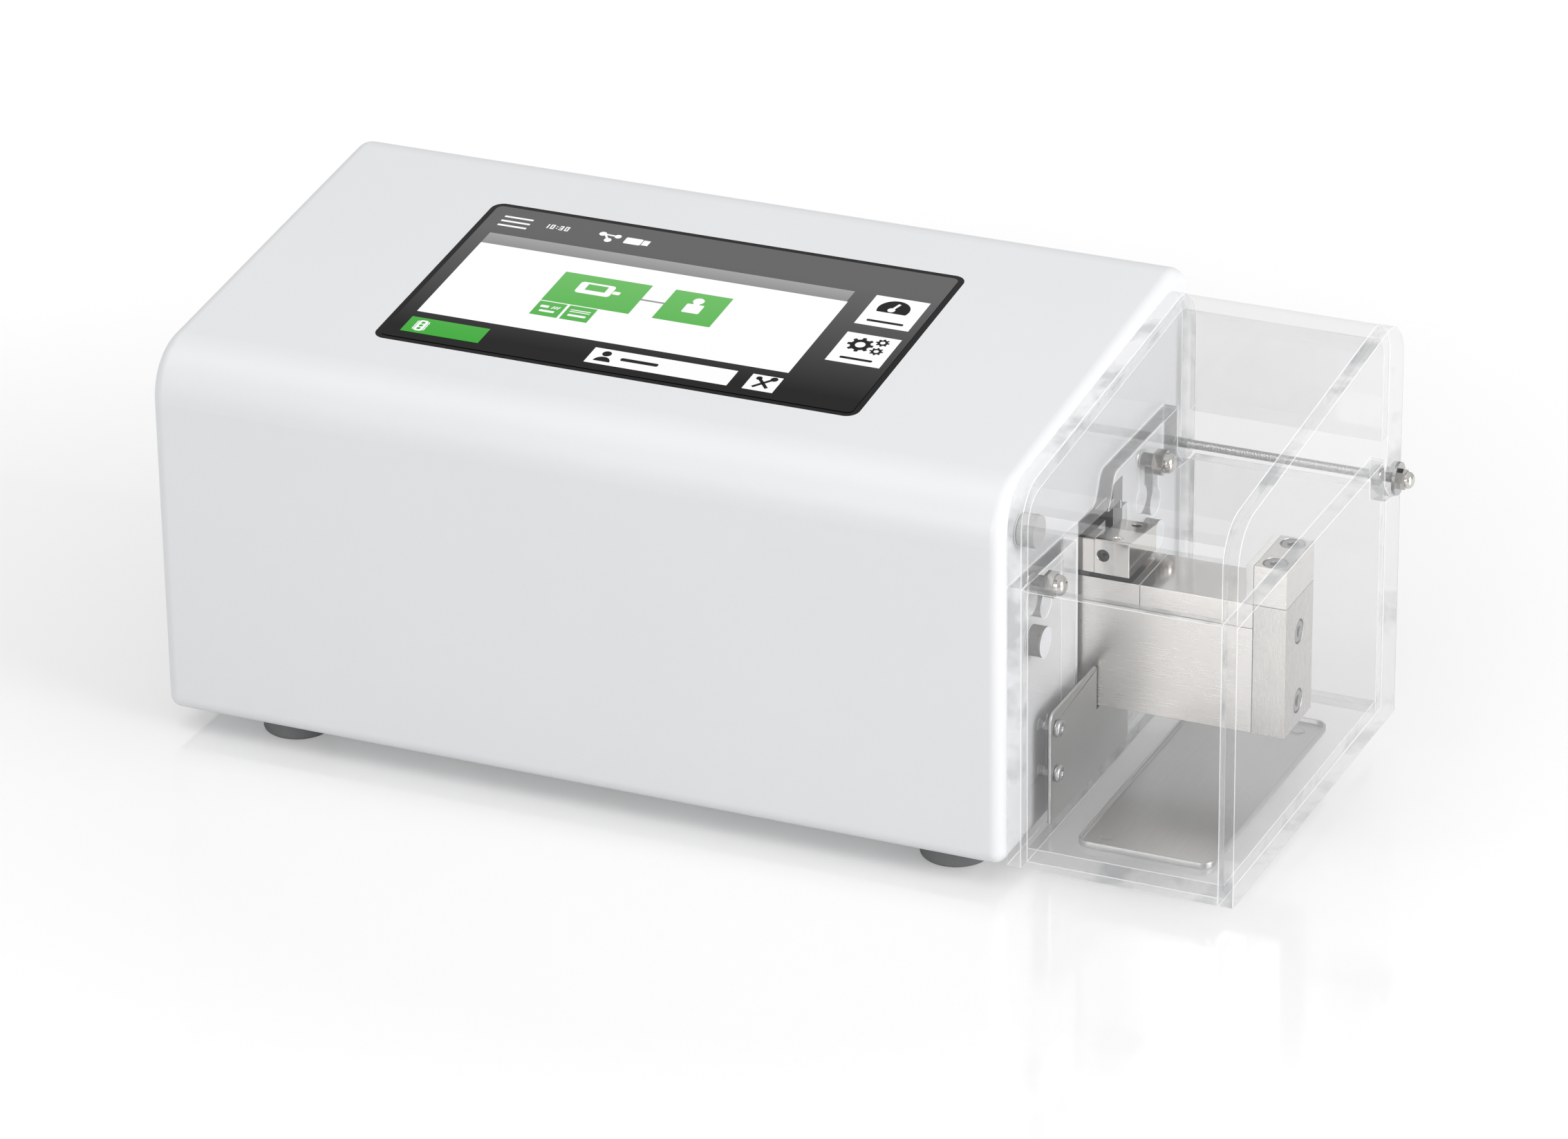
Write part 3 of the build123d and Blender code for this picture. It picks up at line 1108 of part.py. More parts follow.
with BuildPart() as ram_grub_screws:
    with BuildSketch(face(BED_FRONT + GRUB_SINK)):
        with Locations((side_x, side_z)):
            Circle(RAM_SIDE_HOLE_RADIUS)
            RegularPolygon(GRUB_KEY_RADIUS, 6, mode=Mode.SUBTRACT)
    extrude(amount=-(TONGUE_FRONT - BED_FRONT - GRUB_SINK - GRUB_KEY_DEPTH))
    with BuildSketch(face(TONGUE_FRONT)):
        with Locations((side_x, side_z)):
            Circle(RAM_SIDE_HOLE_RADIUS)
    extrude(amount=GRUB_KEY_DEPTH)
    for (x, y), floor_z in zip(top_holes, hole_floors):
        with BuildSketch(flat(floor_z)):
            with Locations((x, y)):
                Circle(RAM_TOP_HOLE_RADIUS)
        extrude(amount=ram_top(y) - 2 * GRUB_SINK - floor_z)
        with BuildSketch(flat(ram_top(y) - 2 * GRUB_SINK)):
            with Locations((x, y)):
                RegularPolygon(GRUB_KEY_RADIUS, 6)
        extrude(amount=-GRUB_KEY_DEPTH, mode=Mode.SUBTRACT)

# ---------------------------------------------------- clear hood, fixed box
notch_front = HOOD_BACK - EAR_WIDTH - NOTCH_PLAY
ear_front = HOOD_BACK - EAR_WIDTH
notch_low = ROD_HEIGHT - EAR_DROP - NOTCH_PLAY

with BuildPart() as hood_base:
    with BuildSketch(flat(0)):
        area(HOOD_INNER_LEFT, HOOD_INNER_RIGHT, HOOD_FRONT + SHEET, HOOD_BACK - SHEET)
    extrude(amount=SHEET)

with BuildPart() as hood_front_panel:
    with BuildSketch(flat(0)):
        area(HOOD_INNER_LEFT, HOOD_INNER_RIGHT, HOOD_FRONT, HOOD_FRONT + SHEET)
    extrude(amount=HOOD_SPLIT)

with BuildPart() as hood_back_panel:
    with BuildSketch(flat(0)):
        area(HOOD_INNER_LEFT, HOOD_INNER_RIGHT, HOOD_BACK - SHEET, HOOD_BACK)
    extrude(amount=HOOD_BACK_SPLIT)

right_shape = outline(
    (HOOD_FRONT, 0, 0),
    (HOOD_BACK, 0, 0),
    (HOOD_BACK, notch_low - NOTCH_FALL, PLATE_EDGE),
    (ROD_Y - NOTCH_AHEAD, notch_low, NOTCH_FLOOR_RADIUS),
    (notch_front, notch_low + NOTCH_RISE, NOTCH_RADIUS),
    (notch_front, HOOD_SPLIT, PLATE_EDGE),
    (HOOD_FRONT, HOOD_SPLIT, 0),
)
with BuildPart() as hood_right_plate:
    with BuildSketch(end(HOOD_INNER_RIGHT)):
        add(right_shape)
    extrude(amount=SHEET)

left_shape = outline(
    (HOOD_FRONT, 0, 0),
    (HOOD_BACK, 0, 0),
    (HOOD_BACK, notch_low - NOTCH_FALL, PLATE_EDGE),
    (ROD_Y - NOTCH_AHEAD, notch_low, NOTCH_FLOOR_RADIUS),
    (notch_front, notch_low + NOTCH_RISE, NOTCH_RADIUS),
    (notch_front, STEP_TOP_Z, PLATE_EDGE),
    (STEP_TOP_Y, STEP_TOP_Z, STEP_RADIUS),
    (STEP_Y, STEP_Z, STEP_RADIUS),
    (HOOD_FRONT, HOOD_SPLIT, 0),
)
cut_shape = outline(
    (CUT_FRONT, CUT_BOTTOM, CUT_RADIUS),
    (CUT_BACK_LOW, CUT_BOTTOM, CUT_RADIUS),
    (CUT_BACK_LOW, CUT_SHOULDER, PLATE_EDGE),
    (CUT_BACK_HIGH, CUT_SHOULDER, 0),
    (CUT_BACK_HIGH, CUT_NOSE, PLATE_EDGE),
    (CUT_TIP, CUT_NOSE, 0),
    (CUT_TIP, HOOD_SPLIT, 0),
    (CUT_FRONT, HOOD_SPLIT, 0),
)
with BuildPart() as hood_left_plate:
    with BuildSketch(end(HOOD_LEFT)):
        add(left_shape)
        add(cut_shape, mode=Mode.SUBTRACT)
        for y, z, low in KEYHOLES:
            with Locations((y, low)):
                Circle(KEY_HOLE_RADIUS, mode=Mode.SUBTRACT)
            with Locations((y, z)):
                Circle(KEY_SLOT_RADIUS, mode=Mode.SUBTRACT)
            with Locations((y, (z + low) / 2)):
                Rectangle(2 * KEY_SLOT_RADIUS, z - low, mode=Mode.SUBTRACT)
        with Locations(*PLUGS):
            Circle(PLUG_RADIUS, mode=Mode.SUBTRACT)
        with Locations(*[(DUST_SCREW_Y, z) for z in DUST_SCREW_Z]):
            Circle(DUST_SHANK_RADIUS, mode=Mode.SUBTRACT)
    extrude(amount=SHEET)

with BuildPart() as plate_plugs:
    with BuildSketch(end(HOOD_LEFT)):
        with Locations(*PLUGS):
            Circle(PLUG_RADIUS)
    extrude(amount=SHEET)

with BuildPart() as hanging_studs:
    with BuildSketch(end(BODY_LENGTH - STUD_IN_WALL)):
        with Locations(*[(y, z) for y, z, low in KEYHOLES]):
            Circle(STUD_RADIUS)
    extrude(amount=STUD_IN_WALL + HOOD_GAP + SHEET + STUD_OUT)

with BuildPart() as hanging_nuts:
    with BuildSketch(end(HOOD_INNER_LEFT)):
        with Locations(*[(y, z) for y, z, low in KEYHOLES]):
            RegularPolygon(CAP_NUT_RADIUS, 6)
    extrude(amount=CAP_NUT_HEX)
    with BuildSketch(end(HOOD_INNER_LEFT + CAP_NUT_HEX)):
        with Locations(*[(y, z) for y, z, low in KEYHOLES]):
            Circle(CAP_NUT_DOME_RADIUS)
    extrude(amount=CAP_NUT_ROUND)
    fillet(hanging_nuts.faces().group_by(Axis.X)[-1].edges(), CAP_NUT_CROWN)
    with BuildSketch(end(HOOD_INNER_LEFT)):
        with Locations(*[(y, z) for y, z, low in KEYHOLES]):
            Circle(STUD_RADIUS)
    extrude(amount=STUD_OUT, mode=Mode.SUBTRACT)

dust_shape = outline(
    (DUST_FRONT, SHEET, 0),
    (CUT_BACK_LOW - DUST_PLAY, SHEET, 0),
    (CUT_BACK_LOW - DUST_PLAY, BED_BOTTOM - DUST_PLAY, DUST_CORNER / 2),
    (BED_FRONT - DUST_PLAY, BED_BOTTOM - DUST_PLAY, 0),
    (BED_FRONT - DUST_PLAY, DUST_TOP, DUST_CORNER / 2),
    (DUST_FRONT, DUST_TOP, DUST_CORNER),
)
with BuildPart() as dust_sheet:
    with BuildSketch(end(HOOD_INNER_LEFT)):
        add(dust_shape)
        with Locations(*[(DUST_SCREW_Y, z) for z in DUST_SCREW_Z]):
            Circle(DUST_SHANK_RADIUS, mode=Mode.SUBTRACT)
    extrude(amount=DUST)

with BuildPart() as dust_sheet_screws:
    with BuildSketch(end(HOOD_INNER_LEFT + DUST)):
        with Locations(*[(DUST_SCREW_Y, z) for z in DUST_SCREW_Z]):
            Circle(DUST_HEAD_RADIUS)
    extrude(amount=DUST_HEAD)
    fillet(dust_sheet_screws.faces().group_by(Axis.X)[-1].edges(), DUST_HEAD_EDGE)
    with BuildSketch(end(HOOD_INNER_LEFT + DUST)):
        with Locations(*[(DUST_SCREW_Y, z) for z in DUST_SCREW_Z]):
            Circle(DUST_SHANK_RADIUS)
    extrude(amount=-DUST_SHANK)
    with BuildSketch(end(HOOD_INNER_LEFT + DUST + DUST_HEAD)):
        with Locations(*[(DUST_SCREW_Y, z) for z in DUST_SCREW_Z]):
            RegularPolygon(LOW_KEY_RADIUS, 6)
    extrude(amount=-DUST_KEY_DEPTH, mode=Mode.SUBTRACT)

TRAY_BACK = TRAY_FRONT + TRAY_DEPTH
with BuildPart() as catch_tray:
    with BuildSketch(flat(SHEET)):
        area(TRAY_LEFT, TRAY_RIGHT, TRAY_FRONT, TRAY_BACK, TRAY_CORNER)
    extrude(amount=TRAY_RIM)
    with BuildSketch(flat(SHEET + TRAY_SHEET)):
        area(TRAY_LEFT + TRAY_SHEET, TRAY_RIGHT - TRAY_SHEET, TRAY_FRONT + TRAY_SHEET,
             TRAY_BACK - TRAY_SHEET, TRAY_CORNER - TRAY_SHEET)
    extrude(amount=TRAY_RIM, mode=Mode.SUBTRACT)
    # two small raised dimples at opposite corners
    with BuildSketch(flat(SHEET + TRAY_SHEET)):
        with Locations((TRAY_LEFT + DIMPLE_INSET, TRAY_FRONT + DIMPLE_INSET),
                       (TRAY_RIGHT - DIMPLE_INSET, TRAY_BACK - DIMPLE_INSET)):
            Circle(DIMPLE_RADIUS)
    extrude(amount=DIMPLE)

# ---------------------------------------------------------- clear hood, lid
lid_outer = hood_outline(0, HOOD_SPLIT + LID_GAP)
lid_inner = hood_outline(SHEET, 0)
with BuildPart() as lid_sheet:
    with BuildSketch(end(HOOD_INNER_LEFT)):
        add(lid_outer)
        add(lid_inner, mode=Mode.SUBTRACT)
    extrude(amount=HOOD_INNER_RIGHT - HOOD_INNER_LEFT)
    with BuildSketch(end(HOOD_INNER_LEFT)):
        area(HOOD_BACK - SHEET - THROUGH, HOOD_BACK + THROUGH, 0, LID_BACK_SPLIT)
    extrude(amount=HOOD_INNER_RIGHT - HOOD_INNER_LEFT, mode=Mode.SUBTRACT)


def ear(join):
    """Side view of a cheek's ear round the hinge rod, drawn up to a height inside the cheek."""
    return outline(
        (ear_front + EAR_TOE, ROD_HEIGHT - EAR_DROP + EAR_TOE_RISE, EAR_TOE_RADIUS),
        (ROD_Y, ROD_HEIGHT - EAR_DROP, 0),
        (HOOD_BACK, ROD_HEIGHT, 0),
        (HOOD_BACK, join, 0),
        (ear_front, join, 0),
        (ear_front, ROD_HEIGHT + EAR_HEEL, EAR_HEEL_RADIUS),
    )


right_ear = ear(HOOD_SPLIT + EAR_LAP)
left_ear = ear(STEP_TOP_Z + EAR_LAP)
with BuildPart() as lid_right_cheek:
    with BuildSketch(end(HOOD_INNER_RIGHT)):
        add(lid_outer)
        add(right_ear)
        with Locations((ROD_Y, ROD_HEIGHT)):
            Circle(EAR_DROP)
            Circle(ROD_RADIUS + ROD_FIT, mode=Mode.SUBTRACT)
    extrude(amount=SHEET)

left_keep = outline(
    (STEP_Y - LID_GAP, STEP_Z + LID_GAP, STEP_RADIUS),
    (STEP_TOP_Y - LID_GAP, STEP_TOP_Z + LID_GAP, STEP_RADIUS),
    (HOOD_BACK + THROUGH, STEP_TOP_Z + LID_GAP, 0),
    (HOOD_BACK + THROUGH, LID_ABOVE, 0),
    (HOOD_FRONT - THROUGH, LID_ABOVE, 0),
    (HOOD_FRONT - THROUGH, HOOD_SPLIT + LID_GAP, 0),
)
cheek_full = hood_outline(0, 0)
with BuildPart() as lid_left_cheek:
    with BuildSketch(end(HOOD_LEFT)):
        add(cheek_full)
        add(left_keep, mode=Mode.INTERSECT)
        add(left_ear)
        with Locations((ROD_Y, ROD_HEIGHT)):
            Circle(EAR_DROP)
            Circle(ROD_RADIUS + ROD_FIT, mode=Mode.SUBTRACT)
        with Locations((MAGNET_Y, MAGNET_Z)):
            Circle(MAGNET_RADIUS, mode=Mode.SUBTRACT)
    extrude(amount=SHEET)

with BuildPart() as lid_magnet:
    with BuildSketch(end(HOOD_INNER_LEFT + MAGNET_PROUD)):
        with Locations((MAGNET_Y, MAGNET_Z)):
            Circle(MAGNET_RADIUS)
    extrude(amount=-MAGNET_PROUD - MAGNET_DEPTH)

with BuildPart() as lid_sensor:
    with BuildSketch(end(BODY_LENGTH - WALL)):
        area(MAGNET_Y - SENSOR_SIZE / 2, MAGNET_Y + SENSOR_SIZE / 2,
             MAGNET_Z - SENSOR_SIZE / 2, MAGNET_Z + SENSOR_SIZE / 2, SENSOR_CORNER)
    extrude(amount=-SENSOR_SIZE / 2)

# --------------------------------------------------------------------- hinge
with BuildPart() as hinge_rod:
    with BuildSketch(end(BODY_LENGTH - WALL - ROD_INSIDE)):
        with Locations((ROD_Y, ROD_HEIGHT)):
            Circle(ROD_RADIUS)
    extrude(amount=WALL + ROD_INSIDE + HOOD_GAP + HOOD_LENGTH + ROD_STOP + WASHER + DOME_HEX)

with BuildPart() as hinge_nuts:
    for x in (BODY_LENGTH - WALL - ROD_NUT, HOOD_INNER_RIGHT - ROD_STOP - ROD_NUT):
        with BuildSketch(end(x)):
            with Locations((ROD_Y, ROD_HEIGHT)):
                RegularPolygon(ROD_NUT_RADIUS, 6)
                Circle(ROD_RADIUS, mode=Mode.SUBTRACT)
        extrude(amount=ROD_NUT)

with BuildPart() as hinge_washer:
    with BuildSketch(end(HOOD_RIGHT + ROD_STOP)):
        with Locations((ROD_Y, ROD_HEIGHT)):
            Circle(WASHER_RADIUS)
            Circle(ROD_RADIUS, mode=Mode.SUBTRACT)
    extrude(amount=WASHER)

with BuildPart() as hinge_domed_nut:
    with BuildSketch(end(DOME_LEFT)):
        with Locations((ROD_Y, ROD_HEIGHT)):
            RegularPolygon(DOME_RADIUS, 6)
    extrude(amount=DOME_HEX)
    with BuildSketch(end(DOME_LEFT + DOME_HEX)):
        with Locations((ROD_Y, ROD_HEIGHT)):
            Circle(DOME_TOP_RADIUS)
    extrude(amount=DOME_ROUND)
    fillet(hinge_domed_nut.faces().sort_by(Axis.X)[-1].edges(), DOME_CROWN)
    with BuildSketch(end(DOME_LEFT)):
        with Locations((ROD_Y, ROD_HEIGHT)):
            Circle(ROD_RADIUS)
    extrude(amount=DOME_HEX, mode=Mode.SUBTRACT)

# -------------------------------------------------------------------- export
nodes = {
    "housing_shell": housing_shell, "base_plate": base_plate, "rubber_feet": rubber_feet,
    "chassis_screws": chassis_screws, "rear_panel": rear_panel, "power_inlet": power_inlet,
    "inlet_blades": inlet_blades, "switch_housing": switch_housing, "power_rocker": power_rocker,
    "data_socket": data_socket, "display_glass": display_glass, "display_module": display_module,
    "display_bracket": display_bracket, "main_board": main_board, "board_standoffs": board_standoffs,
    "power_supply": power_supply, "bed_beam": bed_beam, "bed_plate_left": bed_plate_left,
    "bed_plate_right": bed_plate_right, "bed_supports": bed_supports, "end_plate": end_plate,
    "jaw_block": jaw_block, "jaw_pad": jaw_pad, "cap_screws": cap_screws,
    "stepper_motor": stepper_motor, "motor_bracket": motor_bracket, "motor_shaft": motor_shaft,
    "shaft_coupling": shaft_coupling, "lead_screw": lead_screw, "bearing_blocks": bearing_blocks,
    "screw_bearings": screw_bearings, "guide_rail": guide_rail, "guide_carriage": guide_carriage,
    "ram_carrier": ram_carrier, "screw_nut": screw_nut, "load_cell": load_cell,
    "load_cell_screws": load_cell_screws, "ram_arm": ram_arm, "ram_block": ram_block,
    "ram_grub_screws": ram_grub_screws, "hood_base": hood_base, "hood_front_panel": hood_front_panel,
    "hood_back_panel": hood_back_panel, "hood_right_plate": hood_right_plate,
    "hood_left_plate": hood_left_plate, "plate_plugs": plate_plugs, "hanging_studs": hanging_studs,
    "hanging_nuts": hanging_nuts, "dust_sheet": dust_sheet, "dust_sheet_screws": dust_sheet_screws,
    "catch_tray": catch_tray, "lid_sheet": lid_sheet, "lid_left_cheek": lid_left_cheek,
    "lid_right_cheek": lid_right_cheek, "lid_magnet": lid_magnet, "lid_sensor": lid_sensor,
    "hinge_rod": hinge_rod, "hinge_nuts": hinge_nuts, "hinge_washer": hinge_washer,
    "hinge_domed_nut": hinge_domed_nut,
}
for name, piece in nodes.items():
    piece.part.label = name
    export_step(piece.part, f"parts/{name}.step")
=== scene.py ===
# %% [markdown]
# # A tablet hardness tester in a white studio
# The solids of this bench instrument come from CAD and never move. Blender is here for its
# looks: powder coat, ground steel, clear acrylic, a lit touch screen, cut threads and
# the light of a small photo studio. Each cell makes one of these and prints what it made.

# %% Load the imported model
import bpy
import bmesh
from math import cos, pi, radians, sin
from mathutils import Matrix, Vector


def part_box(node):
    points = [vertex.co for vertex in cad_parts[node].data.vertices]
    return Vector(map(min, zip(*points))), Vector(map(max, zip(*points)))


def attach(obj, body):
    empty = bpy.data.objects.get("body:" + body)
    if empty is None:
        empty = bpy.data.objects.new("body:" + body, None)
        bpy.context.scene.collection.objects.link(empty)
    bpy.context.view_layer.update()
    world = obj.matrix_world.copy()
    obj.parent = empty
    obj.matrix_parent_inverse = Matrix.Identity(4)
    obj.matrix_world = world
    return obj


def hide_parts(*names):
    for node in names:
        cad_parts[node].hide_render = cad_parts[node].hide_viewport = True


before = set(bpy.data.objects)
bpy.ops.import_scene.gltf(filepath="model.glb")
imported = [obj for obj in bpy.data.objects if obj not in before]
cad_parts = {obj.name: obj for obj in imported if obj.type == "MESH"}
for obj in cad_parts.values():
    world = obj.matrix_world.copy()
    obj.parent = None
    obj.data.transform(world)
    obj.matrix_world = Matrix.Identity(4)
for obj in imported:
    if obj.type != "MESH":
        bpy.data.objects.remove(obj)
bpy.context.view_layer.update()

# %% [markdown]
# A workshop drawing measures from one corner of the housing. Doing the same here keeps
# every number readable: `at` takes millimetres from the housing's left end, front face
# and underside, and gives Blender's metres.

# %% Measure from the housing's corner
home = Vector(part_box("housing_shell")[0])


def at(x, y, z):
    """A point in metres from millimetres along the housing."""
    return home + Vector((x, y, z)) / 1000


print("housing corner:", [round(v, 4) for v in home])

# %% [markdown]
# The picture is taken from the right and above with a long lens, so the edges hardly
# converge. The camera's turn, tilt and roll are set as a photographer would set a tripod
# head. Each is one rotation matrix, and the last one written is the first to act: the
# roll about the lens, then the tilt, then the turn.

# %% Camera
LENS = 163.06            # mm
SENSOR = 36              # mm wide
CAMERA_PLACE = (987.4, -1722.4, 980.9)   # mm from the housing's corner
CAMERA_TURN = 24.27      # degrees to the left of straight back
CAMERA_TILT = 25.35      # degrees down
CAMERA_ROLL = -0.80      # degrees

camera_data = bpy.data.cameras.new("studio_camera")
camera_data.lens = LENS
camera_data.sensor_width = SENSOR
camera = bpy.data.objects.new("studio_camera", camera_data)
bpy.context.scene.collection.objects.link(camera)
camera.matrix_world = (
    Matrix.Translation(at(*CAMERA_PLACE))
    @ Matrix.Rotation(radians(CAMERA_TURN), 4, "Z")
    @ Matrix.Rotation(radians(90 - CAMERA_TILT), 4, "X")
    @ Matrix.Rotation(radians(CAMERA_ROLL), 4, "Z")
)
bpy.context.scene.camera = camera
print("camera at", [round(v, 3) for v in camera.matrix_world.translation])

# %% [markdown]
# Every finish below is made of shader nodes. One small function adds a node, sets its
# values and links its inputs, so a finish reads as a list of steps. Colours are written
# as the hex numbers of a paint chart and turned to the linear values that light needs.

# %% Helpers for materials
def tint(code):
    """The linear colour of an sRGB hex number."""
    parts = [int(code[i:i + 2], 16) / 255 for i in (1, 3, 5)]
    linear = [p / 12.92 if p <= 0.04045 else ((p + 0.055) / 1.055) ** 2.4 for p in parts]
    return (*linear, 1.0)


def add(tree, kind, inputs=(), **settings):
    """Add a node. Inputs are values, or the output sockets that feed them."""
    node = tree.nodes.new("ShaderNode" + kind)
    for name, value in settings.items():
        setattr(node, name, value)
    for name, value in dict(inputs).items():
        if isinstance(value, bpy.types.NodeSocket):
            tree.links.new(value, node.inputs[name])
        else:
            node.inputs[name].default_value = value
    return node


def new_finish(name):
    """An empty node material and its tree."""
    material = bpy.data.materials.new(name)
    material.use_nodes = True
    material.node_tree.nodes.clear()
    return material, material.node_tree


def show(tree, shader):
    """Send a shader's output to the surface."""
    add(tree, "OutputMaterial", {"Surface": shader})


def per_metre(size):
    """A texture's scale for features of a size in millimetres."""
    return 1000 / size


print("the powder coat's white is", [round(v, 3) for v in tint("#e6e7e9")])

# %% [markdown]
# The studio is a white sweep with soft light from all round. The floor is a big plane,
# because a plain floor keeps the contact shadow under the feet. What the camera, the
# metal and the glass see of it is lifted to white by a little glow, which grows with the
# distance from the object because the lamps fade there.

# %% Floor
FLOOR_SIZE = 12.0        # metres
FLOOR_GLOW = 0.25        # near the object
FAR_GLOW = 0.50          # where the lamps no longer reach
GLOW_FROM, GLOW_TO = 0.20, 0.60          # metres from the middle, between which it grows

floor_mesh = bpy.data.meshes.new("studio_floor")
edge = FLOOR_SIZE / 2
floor_corners = [(i * edge, j * edge, 0) for i, j in ((-1, -1), (1, -1), (1, 1), (-1, 1))]
floor_mesh.from_pydata(floor_corners, [], [(0, 1, 2, 3)])
floor = bpy.data.objects.new("studio_floor", floor_mesh)
bpy.context.scene.collection.objects.link(floor)

paper, tree = new_finish("white_studio_paper")
path = add(tree, "LightPath")
seen = add(tree, "Math", {0: path.outputs["Is Camera Ray"], 1: path.outputs["Is Glossy Ray"]},
           operation="ADD")
seen = add(tree, "Math", {0: seen.outputs[0], 1: path.outputs["Is Transmission Ray"]},
           operation="ADD", use_clamp=True)
distance = add(tree, "VectorMath", {0: add(tree, "TexCoord").outputs["Object"]}, operation="LENGTH")
lift = add(tree, "MapRange", {"Value": distance.outputs["Value"],
                              "From Min": GLOW_FROM, "From Max": GLOW_TO,
                              "To Min": FLOOR_GLOW, "To Max": FAR_GLOW})
glow = add(tree, "Math", {0: seen.outputs[0], 1: lift.outputs[0]}, operation="MULTIPLY")
sheet = add(tree, "BsdfPrincipled", {"Base Color": tint("#dcdcdc"), "Roughness": 0.10, "IOR": 1.5,
                                     "Coat Weight": 0.6, "Coat Roughness": 0.06,
                                     "Emission Color": (1, 1, 1, 1),
                                     "Emission Strength": glow.outputs[0]})
show(tree, sheet.outputs[0])
floor_mesh.materials.append(paper)
print("floor", FLOOR_SIZE, "m across")

# %% [markdown]
# The world beyond the floor is plain white to the camera. As a light it is dimmer near
# the horizon than overhead, like a room with a white ceiling, and mirrors see a brighter
# version that keeps steel from turning grey. Both stay low enough for a colour to render
# about as it is written.

# %% Surroundings
SKY_ON_SURFACES = (0.42, 0.70)           # strength at the horizon and high up
SKY_IN_MIRRORS = (0.62, 0.85)
SKY_HIGH = 0.9                           # the upward share of a direction that counts as high up

world = bpy.data.worlds.new("soft_studio")
bpy.context.scene.world = world
world.use_nodes = True
tree = world.node_tree
tree.nodes.clear()
path = add(tree, "LightPath")
seen = add(tree, "Math", {0: path.outputs["Is Camera Ray"], 1: path.outputs["Is Transmission Ray"]},
           operation="ADD", use_clamp=True)
direction = add(tree, "SeparateXYZ", {0: add(tree, "TexCoord").outputs["Generated"]})
plain, mirrored = (
    add(tree, "MapRange", {"Value": direction.outputs["Z"], "From Min": 0.0, "From Max": SKY_HIGH,
                           "To Min": low, "To Max": high})
    for low, high in (SKY_ON_SURFACES, SKY_IN_MIRRORS)
)
level = add(tree, "Mix", {"Factor": path.outputs["Is Glossy Ray"], "A": plain.outputs[0],
                          "B": mirrored.outputs[0]}, data_type="FLOAT")
level = add(tree, "Mix", {"Factor": seen.outputs[0], "A": level.outputs[0], "B": 1.0}, data_type="FLOAT")
sky = add(tree, "Background", {"Color": (1, 1, 1, 1), "Strength": level.outputs[0]})
add(tree, "OutputWorld", {"Surface": sky.outputs[0]})
print("surroundings:", SKY_ON_SURFACES, "on surfaces and", SKY_IN_MIRRORS, "in mirrors")

# %% [markdown]
# Three soft boxes do the rest: a wide one overhead to the left gives the top and the
# front their even tone, a low one at the right reaches the wall behind the hood, and a
# low one in front keeps the steel under the hood bright.

# %% Soft boxes
def soft_box(name, place, aim, width, watts):
    """A square area lamp that faces a point, with sizes in metres."""
    data = bpy.data.lights.new(name, "AREA")
    data.shape = "SQUARE"
    data.size = width
    data.energy = watts
    lamp = bpy.data.objects.new(name, data)
    bpy.context.scene.collection.objects.link(lamp)
    lamp.location = place
    lamp.rotation_euler = (Vector(aim) - Vector(place)).to_track_quat("-Z", "Y").to_euler()


middle = (0, 0, 0.07)
soft_box("overhead_box", (-0.7, -0.5, 1.9), middle, 1.3, 5)
soft_box("right_box", (1.8, -0.3, 0.7), middle, 1.1, 24)
soft_box("front_box", (-0.2, -2.0, 0.7), middle, 1.0, 9)

# %% [markdown]
# In an all-white room polished steel has nothing to mirror and looks like paper. So a
# photographer stands a dark card behind the subject. This one darkens the side of the ram
# block, which sees it by way of the bed: it shows only to light that has been mirrored
# twice, and only from its front, so the floor and the camera never see it.

# %% Dark card
CARD_MIDDLE = Vector((0.168, 0.078, 0.114))
CARD_SIDE = 0.056        # metres

card_mesh = bpy.data.meshes.new("dark_card")
card_corners = [CARD_MIDDLE + Vector((i, 0, j)) * CARD_SIDE / 2
                for i, j in ((-1, -1), (1, -1), (1, 1), (-1, 1))]
card_mesh.from_pydata(card_corners, [], [(0, 1, 2, 3)])
card = bpy.data.objects.new("dark_card", card_mesh)
bpy.context.scene.collection.objects.link(card)
card.visible_camera = card.visible_diffuse = False
card.visible_transmission = card.visible_shadow = False

felt, tree = new_finish("black_felt")
nap = add(tree, "TexNoise", {"Vector": add(tree, "TexCoord").outputs["Object"], "Scale": per_metre(4)})
colour = add(tree, "Mix", {"Factor": nap.outputs["Fac"], "A": tint("#454546"), "B": tint("#565657")},
             data_type="RGBA")
cloth = add(tree, "BsdfPrincipled", {"Base Color": colour.outputs["Result"], "Roughness": 0.9})
nothing = add(tree, "BsdfTransparent", {"Color": (1, 1, 1, 1)})
too_direct = add(tree, "Math", {0: add(tree, "LightPath").outputs["Glossy Depth"], 1: 1.5},
                 operation="LESS_THAN")
unseen = add(tree, "Math", {0: add(tree, "NewGeometry").outputs["Backfacing"], 1: too_direct.outputs[0]},
             operation="MAXIMUM")
one_sided = add(tree, "MixShader", {0: unseen.outputs[0], 1: cloth.outputs[0], 2: nothing.outputs[0]})
show(tree, one_sided.outputs[0])
card_mesh.materials.append(felt)
print("card:", CARD_SIDE, "m square")

# %% [markdown]
# ## White powder coat
# The housing is bent sheet, sprayed with polyester powder and baked. The powder melts
# into a skin with a faint orange peel, about 1.5 mm from dimple to dimple, and a sheen
# between satin and gloss. Noise drives a very small bump and a slow change of roughness.

# %% Powder coat
PEEL = 1.5               # mm from dimple to dimple

